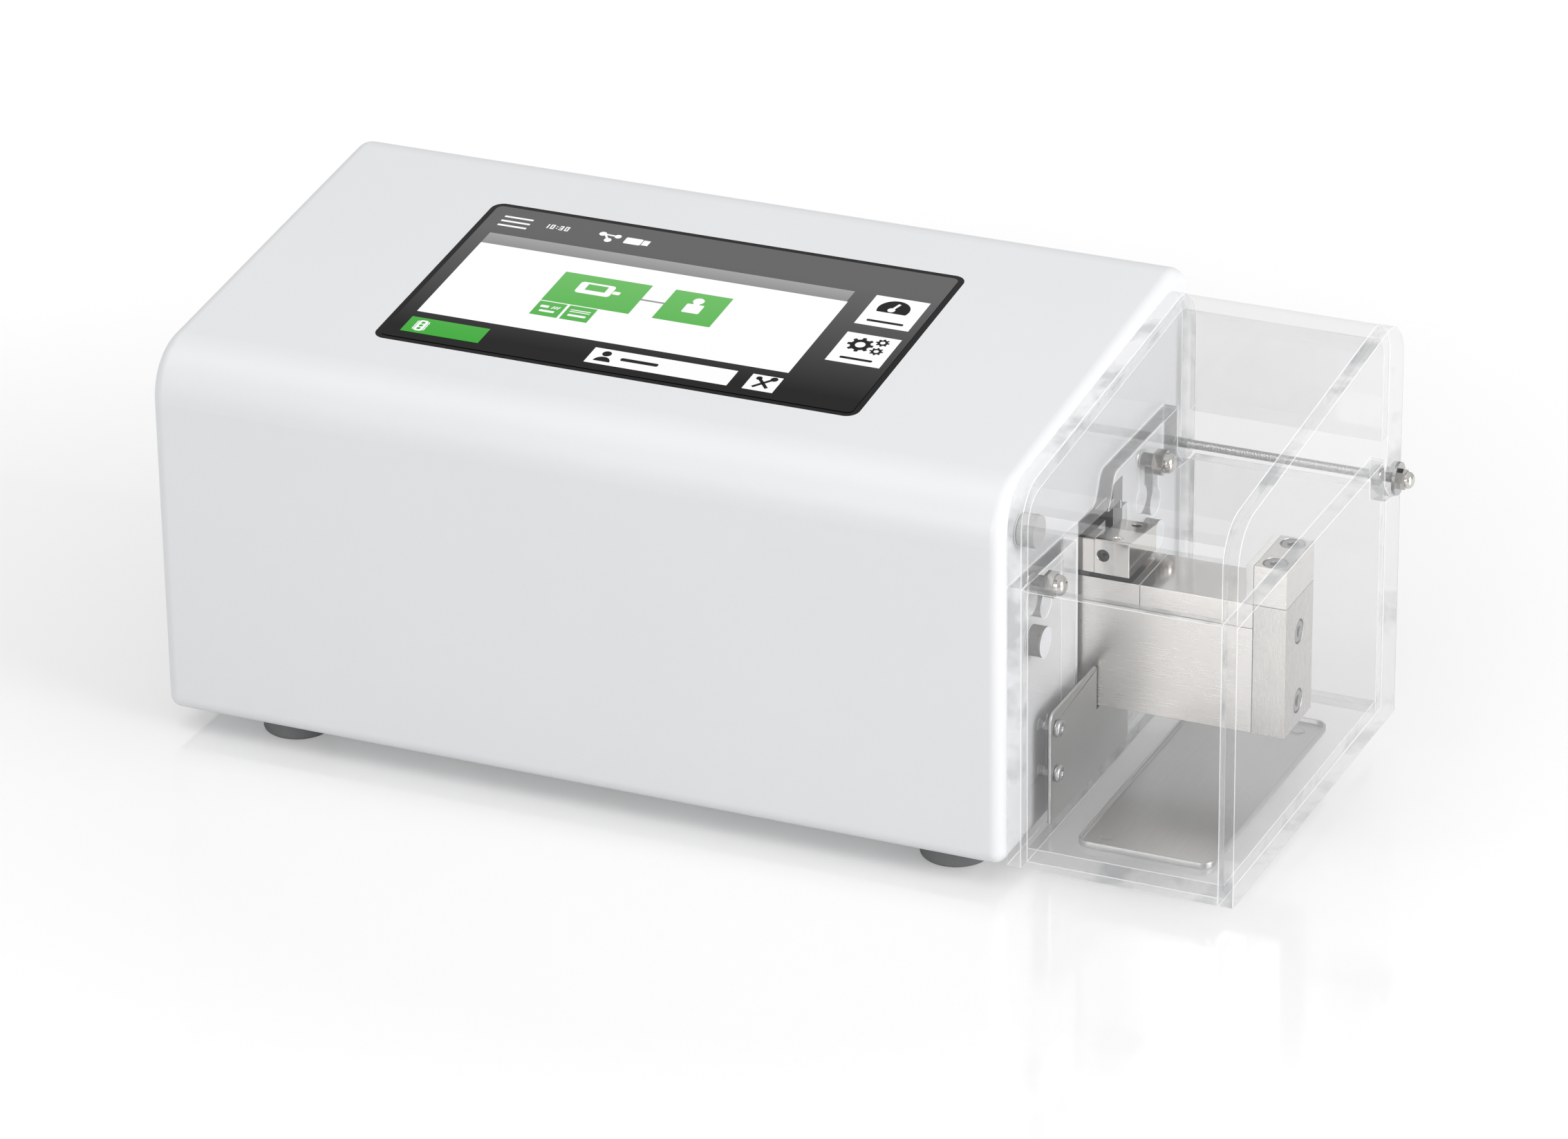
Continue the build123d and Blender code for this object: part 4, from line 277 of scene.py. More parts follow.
powder_coat, tree = new_finish("white_powder_coat")
place = add(tree, "TexCoord").outputs["Object"]
peel = add(tree, "TexNoise", {"Vector": place, "Scale": per_metre(PEEL), "Detail": 3.0})
cloud = add(tree, "TexNoise", {"Vector": place, "Scale": per_metre(60), "Detail": 2.0})
colour = add(tree, "Mix", {"Factor": cloud.outputs["Fac"], "A": tint("#e6e7e9"), "B": tint("#eaebed")},
             data_type="RGBA")
sheen = add(tree, "MapRange", {"Value": cloud.outputs["Fac"], "To Min": 0.30, "To Max": 0.40})
dimples = add(tree, "Bump", {"Height": peel.outputs["Fac"], "Strength": 0.25, "Distance": 0.00003})
skin = add(tree, "BsdfPrincipled", {"Base Color": colour.outputs["Result"], "Roughness": sheen.outputs[0],
                                    "IOR": 1.5, "Normal": dimples.outputs[0]})
show(tree, skin.outputs[0])
print("orange peel scale", round(per_metre(PEEL)), "per metre")

# %% [markdown]
# ## Ground, brushed and plated metals
# The bed, the end plate and the jaws are ground stainless steel: fine straight scratches
# along one axis, drawn 0.25 mm apart because the real 0.05 mm would vanish. The tray and
# the dust sheet are brushed sheet with coarser lines, 0.5 mm apart. The top of the bed,
# where tablets slide, is lapped almost to a mirror. All are one recipe: noise that is
# stretched along the grain drives colour, roughness and a small bump. A metal keeps the
# default IOR, because its colour does that work.

# %% Grained metals
def grained_metal(name, dark, light, grain, pitch, rough, stretch=40.0, top=None):
    """A metal with scratches along axis 0, 1 or 2, at a pitch in millimetres. Its top may be smoother."""
    material, tree = new_finish(name)
    coords = add(tree, "TexCoord")
    place = coords.outputs["Object"]
    scale = [1.0, 1.0, 1.0]
    scale[grain] = 1 / stretch
    along = add(tree, "Mapping", {"Vector": place, "Scale": scale})
    lines = add(tree, "TexNoise", {"Vector": along.outputs[0], "Scale": per_metre(pitch), "Detail": 3.0,
                                   "Roughness": 0.6})
    cloud = add(tree, "TexNoise", {"Vector": place, "Scale": per_metre(14), "Detail": 2.0})
    both = add(tree, "Mix", {"Factor": 0.25, "A": lines.outputs["Fac"], "B": cloud.outputs["Fac"]},
               data_type="FLOAT")
    colour = add(tree, "Mix", {"Factor": both.outputs[0], "A": tint(dark), "B": tint(light)},
                 data_type="RGBA")
    gloss = add(tree, "MapRange", {"Value": both.outputs[0], "From Min": 0.3, "From Max": 0.7,
                                   "To Min": rough - 0.06, "To Max": rough + 0.06})
    if top is not None:
        facing = add(tree, "SeparateXYZ", {0: coords.outputs["Normal"]})
        upward = add(tree, "Math", {0: facing.outputs["Z"], 1: 0.9}, operation="GREATER_THAN")
        gloss = add(tree, "Mix", {"Factor": upward.outputs[0], "A": gloss.outputs[0], "B": top},
                    data_type="FLOAT")
    cuts = add(tree, "Bump", {"Height": lines.outputs["Fac"], "Strength": 0.02, "Distance": 0.000003})
    metal = add(tree, "BsdfPrincipled", {"Base Color": colour.outputs["Result"], "Metallic": 1.0,
                                         "Roughness": gloss.outputs[0], "Normal": cuts.outputs[0]})
    show(tree, metal.outputs[0])
    return material


ground_steel = grained_metal("ground_stainless_steel", "#e0dcd9", "#e6e3e0", 0, 0.25, 0.30)
lapped_steel = grained_metal("ground_steel_with_lapped_top", "#e0dcd9", "#e6e3e0", 0, 0.25, 0.30, top=0.09)
fine_steel = grained_metal("finely_ground_steel", "#dad6d2", "#e2deda", 0, 0.25, 0.12)
# the end plate's steel is darker than the bed's: painted shade, set against the lamp light on its end face
upright_steel_with_painted_shade = grained_metal("ground_steel_upright_grain_painted_darker", "#cbc8c5", "#d1cecb", 2, 0.25, 0.28)
brushed_sheet = grained_metal("brushed_stainless_sheet", "#b4b4b3", "#d0d0cf", 1, 0.5, 0.34)
machined_aluminium = grained_metal("machined_aluminium", "#b9bbbd", "#d0d2d4", 0, 0.6, 0.40, 12.0)
print("grained metals:", ground_steel.name, brushed_sheet.name, machined_aluminium.name)

# %% [markdown]
# Plated and turned metals have no grain. Zinc plate is grey with soft clouds, nickel plate
# on the domed nuts is nearly a mirror, brass is warm, and the screws of the bed are
# stainless steel painted darker than the plates round them, as painted shade of their
# counterbores. One recipe again, with noise for the clouds and a little of it in the
# roughness.

# %% Plated metals
def plated_metal(name, dark, light, cloud_size, rough):
    """A metal with soft clouds of colour and gloss."""
    material, tree = new_finish(name)
    place = add(tree, "TexCoord").outputs["Object"]
    cloud = add(tree, "TexNoise", {"Vector": place, "Scale": per_metre(cloud_size), "Detail": 4.0})
    colour = add(tree, "Mix", {"Factor": cloud.outputs["Fac"], "A": tint(dark), "B": tint(light)},
                 data_type="RGBA")
    gloss = add(tree, "MapRange", {"Value": cloud.outputs["Fac"], "From Min": 0.3, "From Max": 0.7,
                                   "To Min": rough * 0.8, "To Max": rough * 1.2})
    metal = add(tree, "BsdfPrincipled", {"Base Color": colour.outputs["Result"], "Metallic": 1.0,
                                         "Roughness": gloss.outputs[0]})
    show(tree, metal.outputs[0])
    return material


zinc_plate = plated_metal("zinc_plated_steel", "#a9aaa9", "#c6c7c6", 2.0, 0.28)
nickel_plate = plated_metal("bright_nickel_plate", "#c4c1bc", "#d9d7d3", 3.0, 0.12)
turned_brass = plated_metal("turned_brass", "#b39554", "#c9ad6c", 3.0, 0.25)
black_oxide = plated_metal("black_oxide_steel", "#2e2e30", "#454547", 2.0, 0.30)
bearing_steel = plated_metal("bearing_steel", "#b4b4b3", "#cccccb", 3.0, 0.18)
# darker than the steel round them: painted shade of the counterbores they sit in
screw_steel_with_painted_shade = plated_metal("stainless_screw_steel_painted_darker", "#858585", "#9d9d9c", 2.0, 0.20)
print("plated metals:", zinc_plate.name, nickel_plate.name, turned_brass.name)

# %% [markdown]
# Galvanised sheet shows its zinc crystals as flat patches, some 8 mm across. Voronoi
# cells give each patch a grey of its own.

# %% Galvanised sheet
CRYSTAL = 8              # mm across

galvanised, tree = new_finish("galvanised_sheet")
place = add(tree, "TexCoord").outputs["Object"]
crystal = add(tree, "TexVoronoi", {"Vector": place, "Scale": per_metre(CRYSTAL)})
patch = add(tree, "SeparateColor", {0: crystal.outputs["Color"]})
colour = add(tree, "Mix", {"Factor": patch.outputs[0], "A": tint("#9da1a3"), "B": tint("#b5b9bb")},
             data_type="RGBA")
gloss = add(tree, "MapRange", {"Value": patch.outputs[1], "To Min": 0.38, "To Max": 0.52})
metal = add(tree, "BsdfPrincipled", {"Base Color": colour.outputs["Result"], "Metallic": 1.0,
                                     "Roughness": gloss.outputs[0]})
show(tree, metal.outputs[0])
print("zinc crystals", CRYSTAL, "mm across")

# %% [markdown]
# ## Plastics, rubber and the circuit board
# Moulded parts carry a fine spark-eroded texture. It is drawn about 0.5 mm across, ten
# times its real size, so that it shows at all. Rubber is the same skin, but dull, and
# paint and solder mask are smoother kinds of it.

# %% Moulded skins
def moulded(name, dark, light, grain, rough):
    """A moulded skin: fine grain in bump, and clouds in its colour."""
    material, tree = new_finish(name)
    place = add(tree, "TexCoord").outputs["Object"]
    fine = add(tree, "TexNoise", {"Vector": place, "Scale": per_metre(grain), "Detail": 2.0})
    cloud = add(tree, "TexNoise", {"Vector": place, "Scale": per_metre(12), "Detail": 2.0})
    colour = add(tree, "Mix", {"Factor": cloud.outputs["Fac"], "A": tint(dark), "B": tint(light)},
                 data_type="RGBA")
    gloss = add(tree, "MapRange", {"Value": fine.outputs["Fac"], "From Min": 0.3, "From Max": 0.7,
                                   "To Min": rough - 0.05, "To Max": rough + 0.05})
    bump = add(tree, "Bump", {"Height": fine.outputs["Fac"], "Strength": 0.4, "Distance": 0.00002})
    skin = add(tree, "BsdfPrincipled", {"Base Color": colour.outputs["Result"], "Roughness": gloss.outputs[0],
                                        "IOR": 1.5, "Normal": bump.outputs[0]})
    show(tree, skin.outputs[0])
    return material


black_abs = moulded("black_moulded_abs", "#1c1c1e", "#242426", 0.5, 0.45)
grey_nylon = moulded("grey_moulded_nylon", "#a5a5a5", "#b2b2b2", 0.5, 0.45)
foot_rubber = moulded("dark_grey_rubber", "#707172", "#7c7d7d", 0.7, 0.75)
hard_pad = moulded("hard_white_pad", "#dcdbd9", "#e6e5e3", 0.6, 0.30)
black_paint = moulded("black_painted_laminations", "#19191b", "#222224", 0.8, 0.40)
circuit_board = moulded("green_solder_mask", "#0f5a33", "#17683d", 1.5, 0.35)
print("moulded skins:", black_abs.name, grey_nylon.name, foot_rubber.name)

# %% [markdown]
# ## Clear acrylic
# The hood is cast acrylic sheet, 4.7 mm thick, sawn, flame polished and cemented. A sheet
# this thin hardly moves what is seen through it, so its faces let light straight through
# and only mirror a little, more at a glancing angle. The eye finds such a box by its
# edges. Their pale bands with grey mottling are painted reflection, colour standing in for
# what the edges mirror and bend, and the bright line along each polished corner is a
# painted highlight. The surface's own direction tells face, corner and edge apart, so one
# recipe serves all.

# %% Acrylic
ACRYLIC_IOR = 1.49
EDGE_ON, FACE_ON = 0.06, 0.94            # an edge looks less than this along the axis, a face more


def acrylic_sheet(name, axis, bent=False):
    """Clear sheet. Its faces look along an axis, or all round it where the sheet is bent."""
    material, tree = new_finish(name)
    coords = add(tree, "TexCoord")
    place = coords.outputs["Object"]
    facing = add(tree, "SeparateXYZ", {0: coords.outputs["Normal"]})
    square = add(tree, "Math", {0: facing.outputs[axis], 1: 2.0}, operation="POWER")
    flat = square.outputs[0]
    if bent:
        flat = add(tree, "Math", {0: 1.0, 1: flat}, operation="SUBTRACT").outputs[0]
    on_edge = add(tree, "Math", {0: flat, 1: EDGE_ON}, operation="LESS_THAN")
    on_face = add(tree, "Math", {0: flat, 1: FACE_ON}, operation="GREATER_THAN")
    # the face: what is behind it, a little haze, and a mirror image at a glancing angle
    through = add(tree, "BsdfTransparent", {"Color": tint("#fafafa")})
    open_way = add(tree, "BsdfTransparent", {"Color": (1, 1, 1, 1)})
    wipe = add(tree, "TexNoise", {"Vector": place, "Scale": per_metre(30), "Detail": 3.0})
    haze = add(tree, "MapRange", {"Value": wipe.outputs["Fac"], "To Min": 0.008, "To Max": 0.03})
    dust = add(tree, "BsdfDiffuse", {"Color": tint("#e8eaeb")})
    hazy = add(tree, "MixShader", {0: haze.outputs[0], 1: through.outputs[0], 2: dust.outputs[0]})
    glance = add(tree, "Fresnel", {"IOR": ACRYLIC_IOR})
    outside = add(tree, "Math", {0: 1.0, 1: add(tree, "NewGeometry").outputs["Backfacing"]},
                  operation="SUBTRACT")
    mirror = add(tree, "Math", {0: glance.outputs[0], 1: outside.outputs[0]}, operation="MULTIPLY")
    gloss = add(tree, "BsdfGlossy", {"Color": (1, 1, 1, 1), "Roughness": 0.02})
    face = add(tree, "MixShader", {0: mirror.outputs[0], 1: hazy.outputs[0], 2: gloss.outputs[0]})
    # the sawn edge: painted reflection, pale and grey in patches along its length
    edge_reflection_mottle = add(tree, "TexNoise", {"Vector": place, "Scale": per_metre(18), "Detail": 3.0,
                                    "Roughness": 0.6})
    spread = add(tree, "MapRange", {"Value": edge_reflection_mottle.outputs["Fac"], "From Min": 0.38, "From Max": 0.54})
    edge_painted_reflection = add(tree, "Mix", {"Factor": spread.outputs[0], "A": tint("#a3a6a8"), "B": tint("#fbfcfc")},
                data_type="RGBA")
    cut = add(tree, "BsdfPrincipled", {"Base Color": edge_painted_reflection.outputs["Result"], "Roughness": 0.15,
                                       "IOR": ACRYLIC_IOR})
    veil = add(tree, "MapRange", {"Value": spread.outputs[0], "To Min": 0.42, "To Max": 0.16})
    edge = add(tree, "MixShader", {0: veil.outputs[0], 1: through.outputs[0], 2: cut.outputs[0]})
    # the polished corner between them: a painted highlight, a pale line
    painted_highlight = add(tree, "BsdfPrincipled", {"Base Color": tint("#f4f5f6"), "Roughness": 0.10,
                                          "IOR": ACRYLIC_IOR})
    corner_painted_highlight = add(tree, "MixShader", {0: 0.6, 1: through.outputs[0], 2: painted_highlight.outputs[0]})
    sides = add(tree, "MixShader", {0: on_edge.outputs[0], 1: corner_painted_highlight.outputs[0], 2: edge.outputs[0]})
    whole = add(tree, "MixShader", {0: on_face.outputs[0], 1: sides.outputs[0], 2: face.outputs[0]})
    # light on its way to what stands inside passes freely
    path = add(tree, "LightPath")
    passing = add(tree, "Math", {0: path.outputs["Is Shadow Ray"], 1: path.outputs["Is Diffuse Ray"]},
                  operation="MAXIMUM")
    lets_through = add(tree, "MixShader", {0: passing.outputs[0], 1: whole.outputs[0],
                                           2: open_way.outputs[0]})
    show(tree, lets_through.outputs[0])
    return material


acrylic_side = acrylic_sheet("clear_acrylic_side_sheet", 0)
acrylic_front = acrylic_sheet("clear_acrylic_front_sheet", 1)
acrylic_floor = acrylic_sheet("clear_acrylic_floor_sheet", 2)
acrylic_bent = acrylic_sheet("clear_acrylic_bent_sheet", 0, bent=True)
print("acrylic sheets:", acrylic_side.name, acrylic_front.name, acrylic_floor.name, acrylic_bent.name)

# %% [markdown]
# Two plugs close holes in the left plate. Their round sides vanish in the sheet, and only
# their frosted ends show, as pale discs.

# %% Frosted plug
frosted_plug, tree = new_finish("frosted_plug")
coords = add(tree, "TexCoord")
facing = add(tree, "SeparateXYZ", {0: coords.outputs["Normal"]})
square = add(tree, "Math", {0: facing.outputs["X"], 1: 2.0}, operation="POWER")
on_end = add(tree, "Math", {0: square.outputs[0], 1: 0.5}, operation="GREATER_THAN")
frost = add(tree, "TexNoise", {"Vector": coords.outputs["Object"], "Scale": per_metre(0.8), "Detail": 2.0})
colour = add(tree, "Mix", {"Factor": frost.outputs["Fac"], "A": tint("#cfd0d2"), "B": tint("#e4e5e7")},
             data_type="RGBA")
end_skin = add(tree, "BsdfPrincipled", {"Base Color": colour.outputs["Result"], "Roughness": 0.35,
                                        "IOR": ACRYLIC_IOR})
side_skin = add(tree, "BsdfTransparent", {"Color": (1, 1, 1, 1)})
plug = add(tree, "MixShader", {0: on_end.outputs[0], 1: side_skin.outputs[0], 2: end_skin.outputs[0]})
show(tree, plug.outputs[0])
print("plugs:", frosted_plug.name)

# %% [markdown]
# ## Dressing the CAD solids
# Each node of the frame takes the finish of what the real piece is made of. The finish
# goes into the object's own slots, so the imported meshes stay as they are. The cover glass
# waits for its picture.

# %% Give every node its finish
finishes = {
    powder_coat: ["housing_shell"],
    galvanised: ["base_plate", "rear_panel", "display_bracket", "power_supply"],
    ground_steel: ["bed_beam", "jaw_block", "guide_rail", "guide_carriage", "motor_shaft", "lead_screw"],
    lapped_steel: ["bed_plate_left", "bed_plate_right"],
    fine_steel: ["ram_arm", "ram_block"],
    upright_steel_with_painted_shade: ["end_plate"],
    brushed_sheet: ["dust_sheet", "catch_tray"],
    machined_aluminium: ["bed_supports", "motor_bracket", "shaft_coupling", "bearing_blocks",
                         "ram_carrier", "load_cell"],
    screw_steel_with_painted_shade: ["cap_screws"],
    zinc_plate: ["chassis_screws", "load_cell_screws", "hanging_studs",
                 "dust_sheet_screws", "hinge_rod", "hinge_nuts", "hinge_washer"],
    nickel_plate: ["inlet_blades", "data_socket", "hanging_nuts", "hinge_domed_nut"],
    black_oxide: ["ram_grub_screws"],
    bearing_steel: ["screw_bearings"],
    turned_brass: ["screw_nut"],
    black_abs: ["power_inlet", "switch_housing", "power_rocker", "display_module", "lid_sensor"],
    grey_nylon: ["board_standoffs", "lid_magnet"],
    frosted_plug: ["plate_plugs"],
    foot_rubber: ["rubber_feet"],
    hard_pad: ["jaw_pad"],
    black_paint: ["stepper_motor"],
    circuit_board: ["main_board"],
    acrylic_floor: ["hood_base"],
    acrylic_front: ["hood_front_panel", "hood_back_panel"],
    acrylic_side: ["hood_right_plate", "hood_left_plate", "lid_left_cheek", "lid_right_cheek"],
    acrylic_bent: ["lid_sheet"],
}


def dress(piece, material):
    """Put a material into every slot of an object, on the object and not on its mesh."""
    if not piece.material_slots:
        piece.data.materials.append(None)
    for slot in piece.material_slots:
        slot.link = "OBJECT"
        slot.material = material


for material, names in finishes.items():
    for name in names:
        dress(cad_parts[name], material)
undressed = set(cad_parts) - {n for names in finishes.values() for n in names}
print("nodes dressed:", len(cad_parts) - len(undressed), "left:", sorted(undressed))

# %% [markdown]
# ## Edges that catch the light
# No real edge is perfectly sharp. Ground blocks are eased with a stone, acrylic is flame
# polished, and a thin bright line along each edge shows it. Modifiers do this and leave
# the CAD mesh alone: one joins its faces, one merges its flat triangles, a bevel cuts the
# corner, and the last keeps the big faces shaded flat.

# %% Ease the edges of blocks and sheets
EASED = {                # the pieces, under the millimetres that their edges lose
    0.35: ["hood_base", "hood_front_panel", "hood_back_panel", "hood_right_plate", "hood_left_plate",
           "lid_sheet", "lid_left_cheek", "lid_right_cheek"],
    0.25: ["bed_plate_left", "bed_plate_right", "bed_beam", "end_plate", "jaw_block", "jaw_pad",
           "ram_block", "ram_arm"],
    0.30: ["cap_screws", "dust_sheet_screws", "catch_tray", "dust_sheet"],
}
WELD_REACH = 0.000002    # metres, far under any real detail
FLAT = radians(0.6)      # two triangles this close in direction are one face
SHARP = radians(40)      # an edge that turns more than this is eased


def ease_edges(name, width):
    """Break the sharp edges of a CAD solid by a width in millimetres."""
    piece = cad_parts[name]
    joined = piece.modifiers.new("join_faces", "WELD")
    joined.merge_threshold = WELD_REACH
    merged = piece.modifiers.new("merge_flat_faces", "DECIMATE")
    merged.decimate_type = "DISSOLVE"
    merged.angle_limit = FLAT
    eased = piece.modifiers.new("eased_edges", "BEVEL")
    eased.width = width / 1000
    eased.segments = 1
    eased.limit_method = "ANGLE"
    eased.angle_limit = SHARP
    eased.use_clamp_overlap = False
    even = piece.modifiers.new("even_shading", "WEIGHTED_NORMAL")
    even.weight = 100


for width, names in EASED.items():
    for name in names:
        ease_edges(name, width)
print("eased:", [o.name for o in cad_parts.values() if o.modifiers])

# %% [markdown]
# ## Cut threads
# The hinge rod is a length of threaded rod, and the lead screw drives the ram. CAD keeps
# them as plain cylinders. Here each gets real threads: rings of points along the axis,
# whose radius follows a right-hand helix. A mesh in code is the plain way, because a
# texture would leave the outline smooth.

# %% Threaded bars
def threaded_bar(name, start, length, radius, depth, pitch, thread, around=20, steps=6):
    """A bar along x, threaded right-handed between two distances from its start, in millimetres."""
    mesh = bmesh.new()
    cut_from, cut_to = thread
    stations = [0.0]
    rows = int((cut_to - cut_from) / pitch * steps)
    stations += [cut_from + i * pitch / steps for i in range(rows + 1)]
    stations += [length] if length > stations[-1] + 0.01 else []
    last = None
    for distance in stations:
        runout = min(distance - cut_from, cut_to - distance) / pitch
        deep = depth * min(max(runout, 0.0), 1.0)
        ring = []
        for k in range(around):
            angle = 2 * pi * k / around
            turn = (distance / pitch - k / around) % 1.0
            r = radius - deep * (1 - abs(2 * turn - 1))
            ring.append(mesh.verts.new(start + Vector((distance, r * cos(angle), r * sin(angle))) / 1000))
        if last:
            for k in range(around):
                n = (k + 1) % around
                mesh.faces.new((last[k], ring[k], ring[n], last[n]))
        else:
            mesh.faces.new(ring)
        last = ring
    mesh.faces.new(last[::-1])
    bmesh.ops.recalc_face_normals(mesh, faces=mesh.faces)
    data = bpy.data.meshes.new(name)
    mesh.to_mesh(data)
    mesh.free()
    data.shade_smooth()
    bar = bpy.data.objects.new(name, data)
    bpy.context.scene.collection.objects.link(bar)
    return bar


def replace_round(node, name, body, depth, pitch, thread, finish, **detail):
    """Put a threaded bar where a CAD cylinder along x stands."""
    low, high = (Vector(c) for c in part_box(node))
    middle = (low + high) / 2
    bar = threaded_bar(name, Vector((low.x, middle.y, middle.z)), (high.x - low.x) * 1000,
                       (high.y - low.y) * 500, depth, pitch, thread, **detail)
    bar.data.materials.append(finish)
    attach(bar, body)
    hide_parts(node)


ROD_PITCH, ROD_DEPTH = 0.5, 0.28         # mm
SCREW_LEAD, SCREW_DEPTH = 4.0, 0.8       # mm, and the ram moves by one lead in a turn
SCREW_THREAD = (29.0, 189.0)             # mm from the screw's left end

rod_length = (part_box("hinge_rod")[1][0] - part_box("hinge_rod")[0][0]) * 1000
rod_thread = (0.3, rod_length - 0.3)
replace_round("hinge_rod", "threaded_hinge_rod", "base", ROD_DEPTH, ROD_PITCH, rod_thread, zinc_plate)
replace_round("lead_screw", "threaded_lead_screw", "screw", SCREW_DEPTH, SCREW_LEAD, SCREW_THREAD,
              ground_steel, around=32, steps=16)
print("rod", round(rod_length, 1), "mm with", round(rod_length / ROD_PITCH), "turns of thread")

# %% [markdown]
# ## The lit screen
# Under the cover glass a display shows tiles and symbols. Each layer of the picture is a
# thin sheet of mesh on the sloping face, with a glow of its own colour. It is drawn as
# outlines in millimetres across the face and up it, and those are then raised.

# %% Drawing on the sloping face
SLOPE = radians(6.87)
FACE_HEIGHT = 120.0      # where the face would meet the front


def on_face(x, s, lift):
    """A point from millimetres across, up the sloping face, and out of it."""
    return at(x, s * cos(SLOPE) - lift * sin(SLOPE), FACE_HEIGHT + s * sin(SLOPE) + lift * cos(SLOPE))


def bar(left, right, low, high):
    """A rectangle."""
    return [(left, low), (right, low), (right, high), (left, high)]


def rounded(left, right, low, high, r, n=6):
    """A rectangle with round corners."""
    points = []
    for cx, cy, start in ((right - r, low + r, -90), (right - r, high - r, 0),
                          (left + r, high - r, 90), (left + r, low + r, 180)):
        angles = [radians(start + 90 * i / n) for i in range(n + 1)]
        points += [(cx + r * cos(a), cy + r * sin(a)) for a in angles]
    return points


def layer(name, shapes, heights, finish):
    """A thin raised sheet for each outline, all in one piece on the housing."""
    low, high = heights
    mesh = bmesh.new()
    for shape in shapes:
        under = [mesh.verts.new(on_face(x, s, low)) for x, s in shape]
        over = [mesh.verts.new(on_face(x, s, high)) for x, s in shape]
        mesh.faces.new(over)
        mesh.faces.new(under[::-1])
        for i in range(len(shape)):
            n = (i + 1) % len(shape)
            mesh.faces.new((under[i], under[n], over[n], over[i]))
    bmesh.ops.recalc_face_normals(mesh, faces=mesh.faces)
    data = bpy.data.meshes.new(name)
    mesh.to_mesh(data)
    mesh.free()
    data.materials.append(finish)
    piece = bpy.data.objects.new(name, data)
    bpy.context.scene.collection.objects.link(piece)
    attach(piece, "base")


print("face rises", round(SLOPE, 3), "rad")

# %% [markdown]
# A screen's picture glows, so its colour sits in the emission. The glass over it has an
# anti-glare coat, so little of the studio shows in it. The picture darkens from top to
# bottom along a ramp, and faint rows stand for its pixels, drawn 0.5 mm high because the
# real ones of 0.2 mm would vanish. The black border of the cover glass glows faintly too,
# more towards the top: painted light, since the glass itself gives none.

# %% Picture colours
PIXEL_ROW = 0.5          # mm
ANTI_GLARE = 0.12        # the share of a plain glass's mirroring that is left


def lit_picture(name, bottom, top, low_s=31.0, high_s=119.0):
    """A glowing picture colour that changes up the face, with faint rows of pixels."""
    material, tree = new_finish(name)
    place = add(tree, "SeparateXYZ", {0: add(tree, "TexCoord").outputs["Object"]})
    rise = add(tree, "MapRange", {"Value": place.outputs["Y"], "From Min": on_face(0, low_s, 0).y,
                                  "From Max": on_face(0, high_s, 0).y})
    colour = add(tree, "Mix", {"Factor": rise.outputs[0], "A": tint(bottom), "B": tint(top)},
                 data_type="RGBA")
    rows = add(tree, "Math", {0: place.outputs["Y"], 1: per_metre(PIXEL_ROW) * 2 * pi},
               operation="MULTIPLY")
    rows = add(tree, "Math", {0: rows.outputs[0]}, operation="SINE")
    rows = add(tree, "MapRange", {"Value": rows.outputs[0], "From Min": -1.0, "To Min": 0.985,
                                  "To Max": 1.0})
    pixels = add(tree, "Mix", {"Factor": 1.0, "A": colour.outputs["Result"], "B": rows.outputs[0]},
                 data_type="RGBA", blend_type="MULTIPLY")
    skin = add(tree, "BsdfPrincipled", {"Base Color": (0.0, 0.0, 0.0, 1.0), "Roughness": 0.12, "IOR": 1.5,
                                        "Specular IOR Level": ANTI_GLARE,
                                        "Emission Color": pixels.outputs["Result"],
                                        "Emission Strength": 1.0})
    show(tree, skin.outputs[0])
    return material


# the cover glass's black border: a painted glow, faintly brighter up the face
glass_with_painted_glow = lit_picture("cover_glass_black_with_painted_glow", "#020202", "#161616")
screen_grey = lit_picture("screen_background", "#000000", "#606060", 40.0, 104.0)
strip_grey = lit_picture("screen_title_strip", "#8e8e8e", "#a2a2a2", 94.0, 100.4)
panel_white = lit_picture("screen_white", "#fbfbfb", "#ffffff")
tile_green = lit_picture("screen_green", "#36a832", "#70bf66", 36.0, 90.0)
symbol_black = lit_picture("screen_symbol_black", "#030303", "#0a0a0a")
link_grey = lit_picture("screen_link_grey", "#9a9a9a", "#a0a0a0")
dress(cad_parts["display_glass"], glass_with_painted_glow)
print("picture colours:", screen_grey.name, panel_white.name, tile_green.name)

# %% [markdown]
# The picture is built from the back to the front: a grey ground, white panels, and green
# tiles on them. Each sheet lies on the one before and is a few hundredths of a
# millimetre thick, so that no two share a place.

# %% Screen background, panel and tiles
GROUND = (0.00, 0.04)    # mm out of the face, from and to
PANEL = (0.04, 0.07)
TILE = (0.07, 0.10)
SYMBOL = (0.10, 0.13)
DETAIL = (0.13, 0.15)

layer("screen_picture", [rounded(62.4, 218.5, 33.0, 117.1, 2.0)], GROUND, screen_grey)
layer("screen_title_bar", [bar(67.3, 190.8, 94.0, 100.5)], PANEL, strip_grey)
white_tiles = [
    bar(67.3, 191.2, 49.0, 94.0),
    bar(129.3, 176.4, 36.5, 45.4),
    bar(181.4, 191.3, 36.5, 45.4),
    bar(198.1, 215.8, 82.7, 100.5),
    bar(198.4, 216.1, 59.7, 77.3),
]
layer("screen_white_tiles", white_tiles, PANEL, panel_white)
green_tiles = [
    bar(100.8, 130.2, 66.8, 85.0),
    bar(138.0, 157.2, 66.8, 85.0),
    bar(100.9, 110.1, 57.9, 66.3),
    bar(111.0, 120.2, 57.9, 66.3),
    bar(67.5, 93.8, 36.7, 45.6),
]
layer("screen_green_tiles", green_tiles, TILE, tile_green)
layer("screen_tile_link", [bar(130.2, 138.0, 75.6, 76.5)], TILE, link_grey)
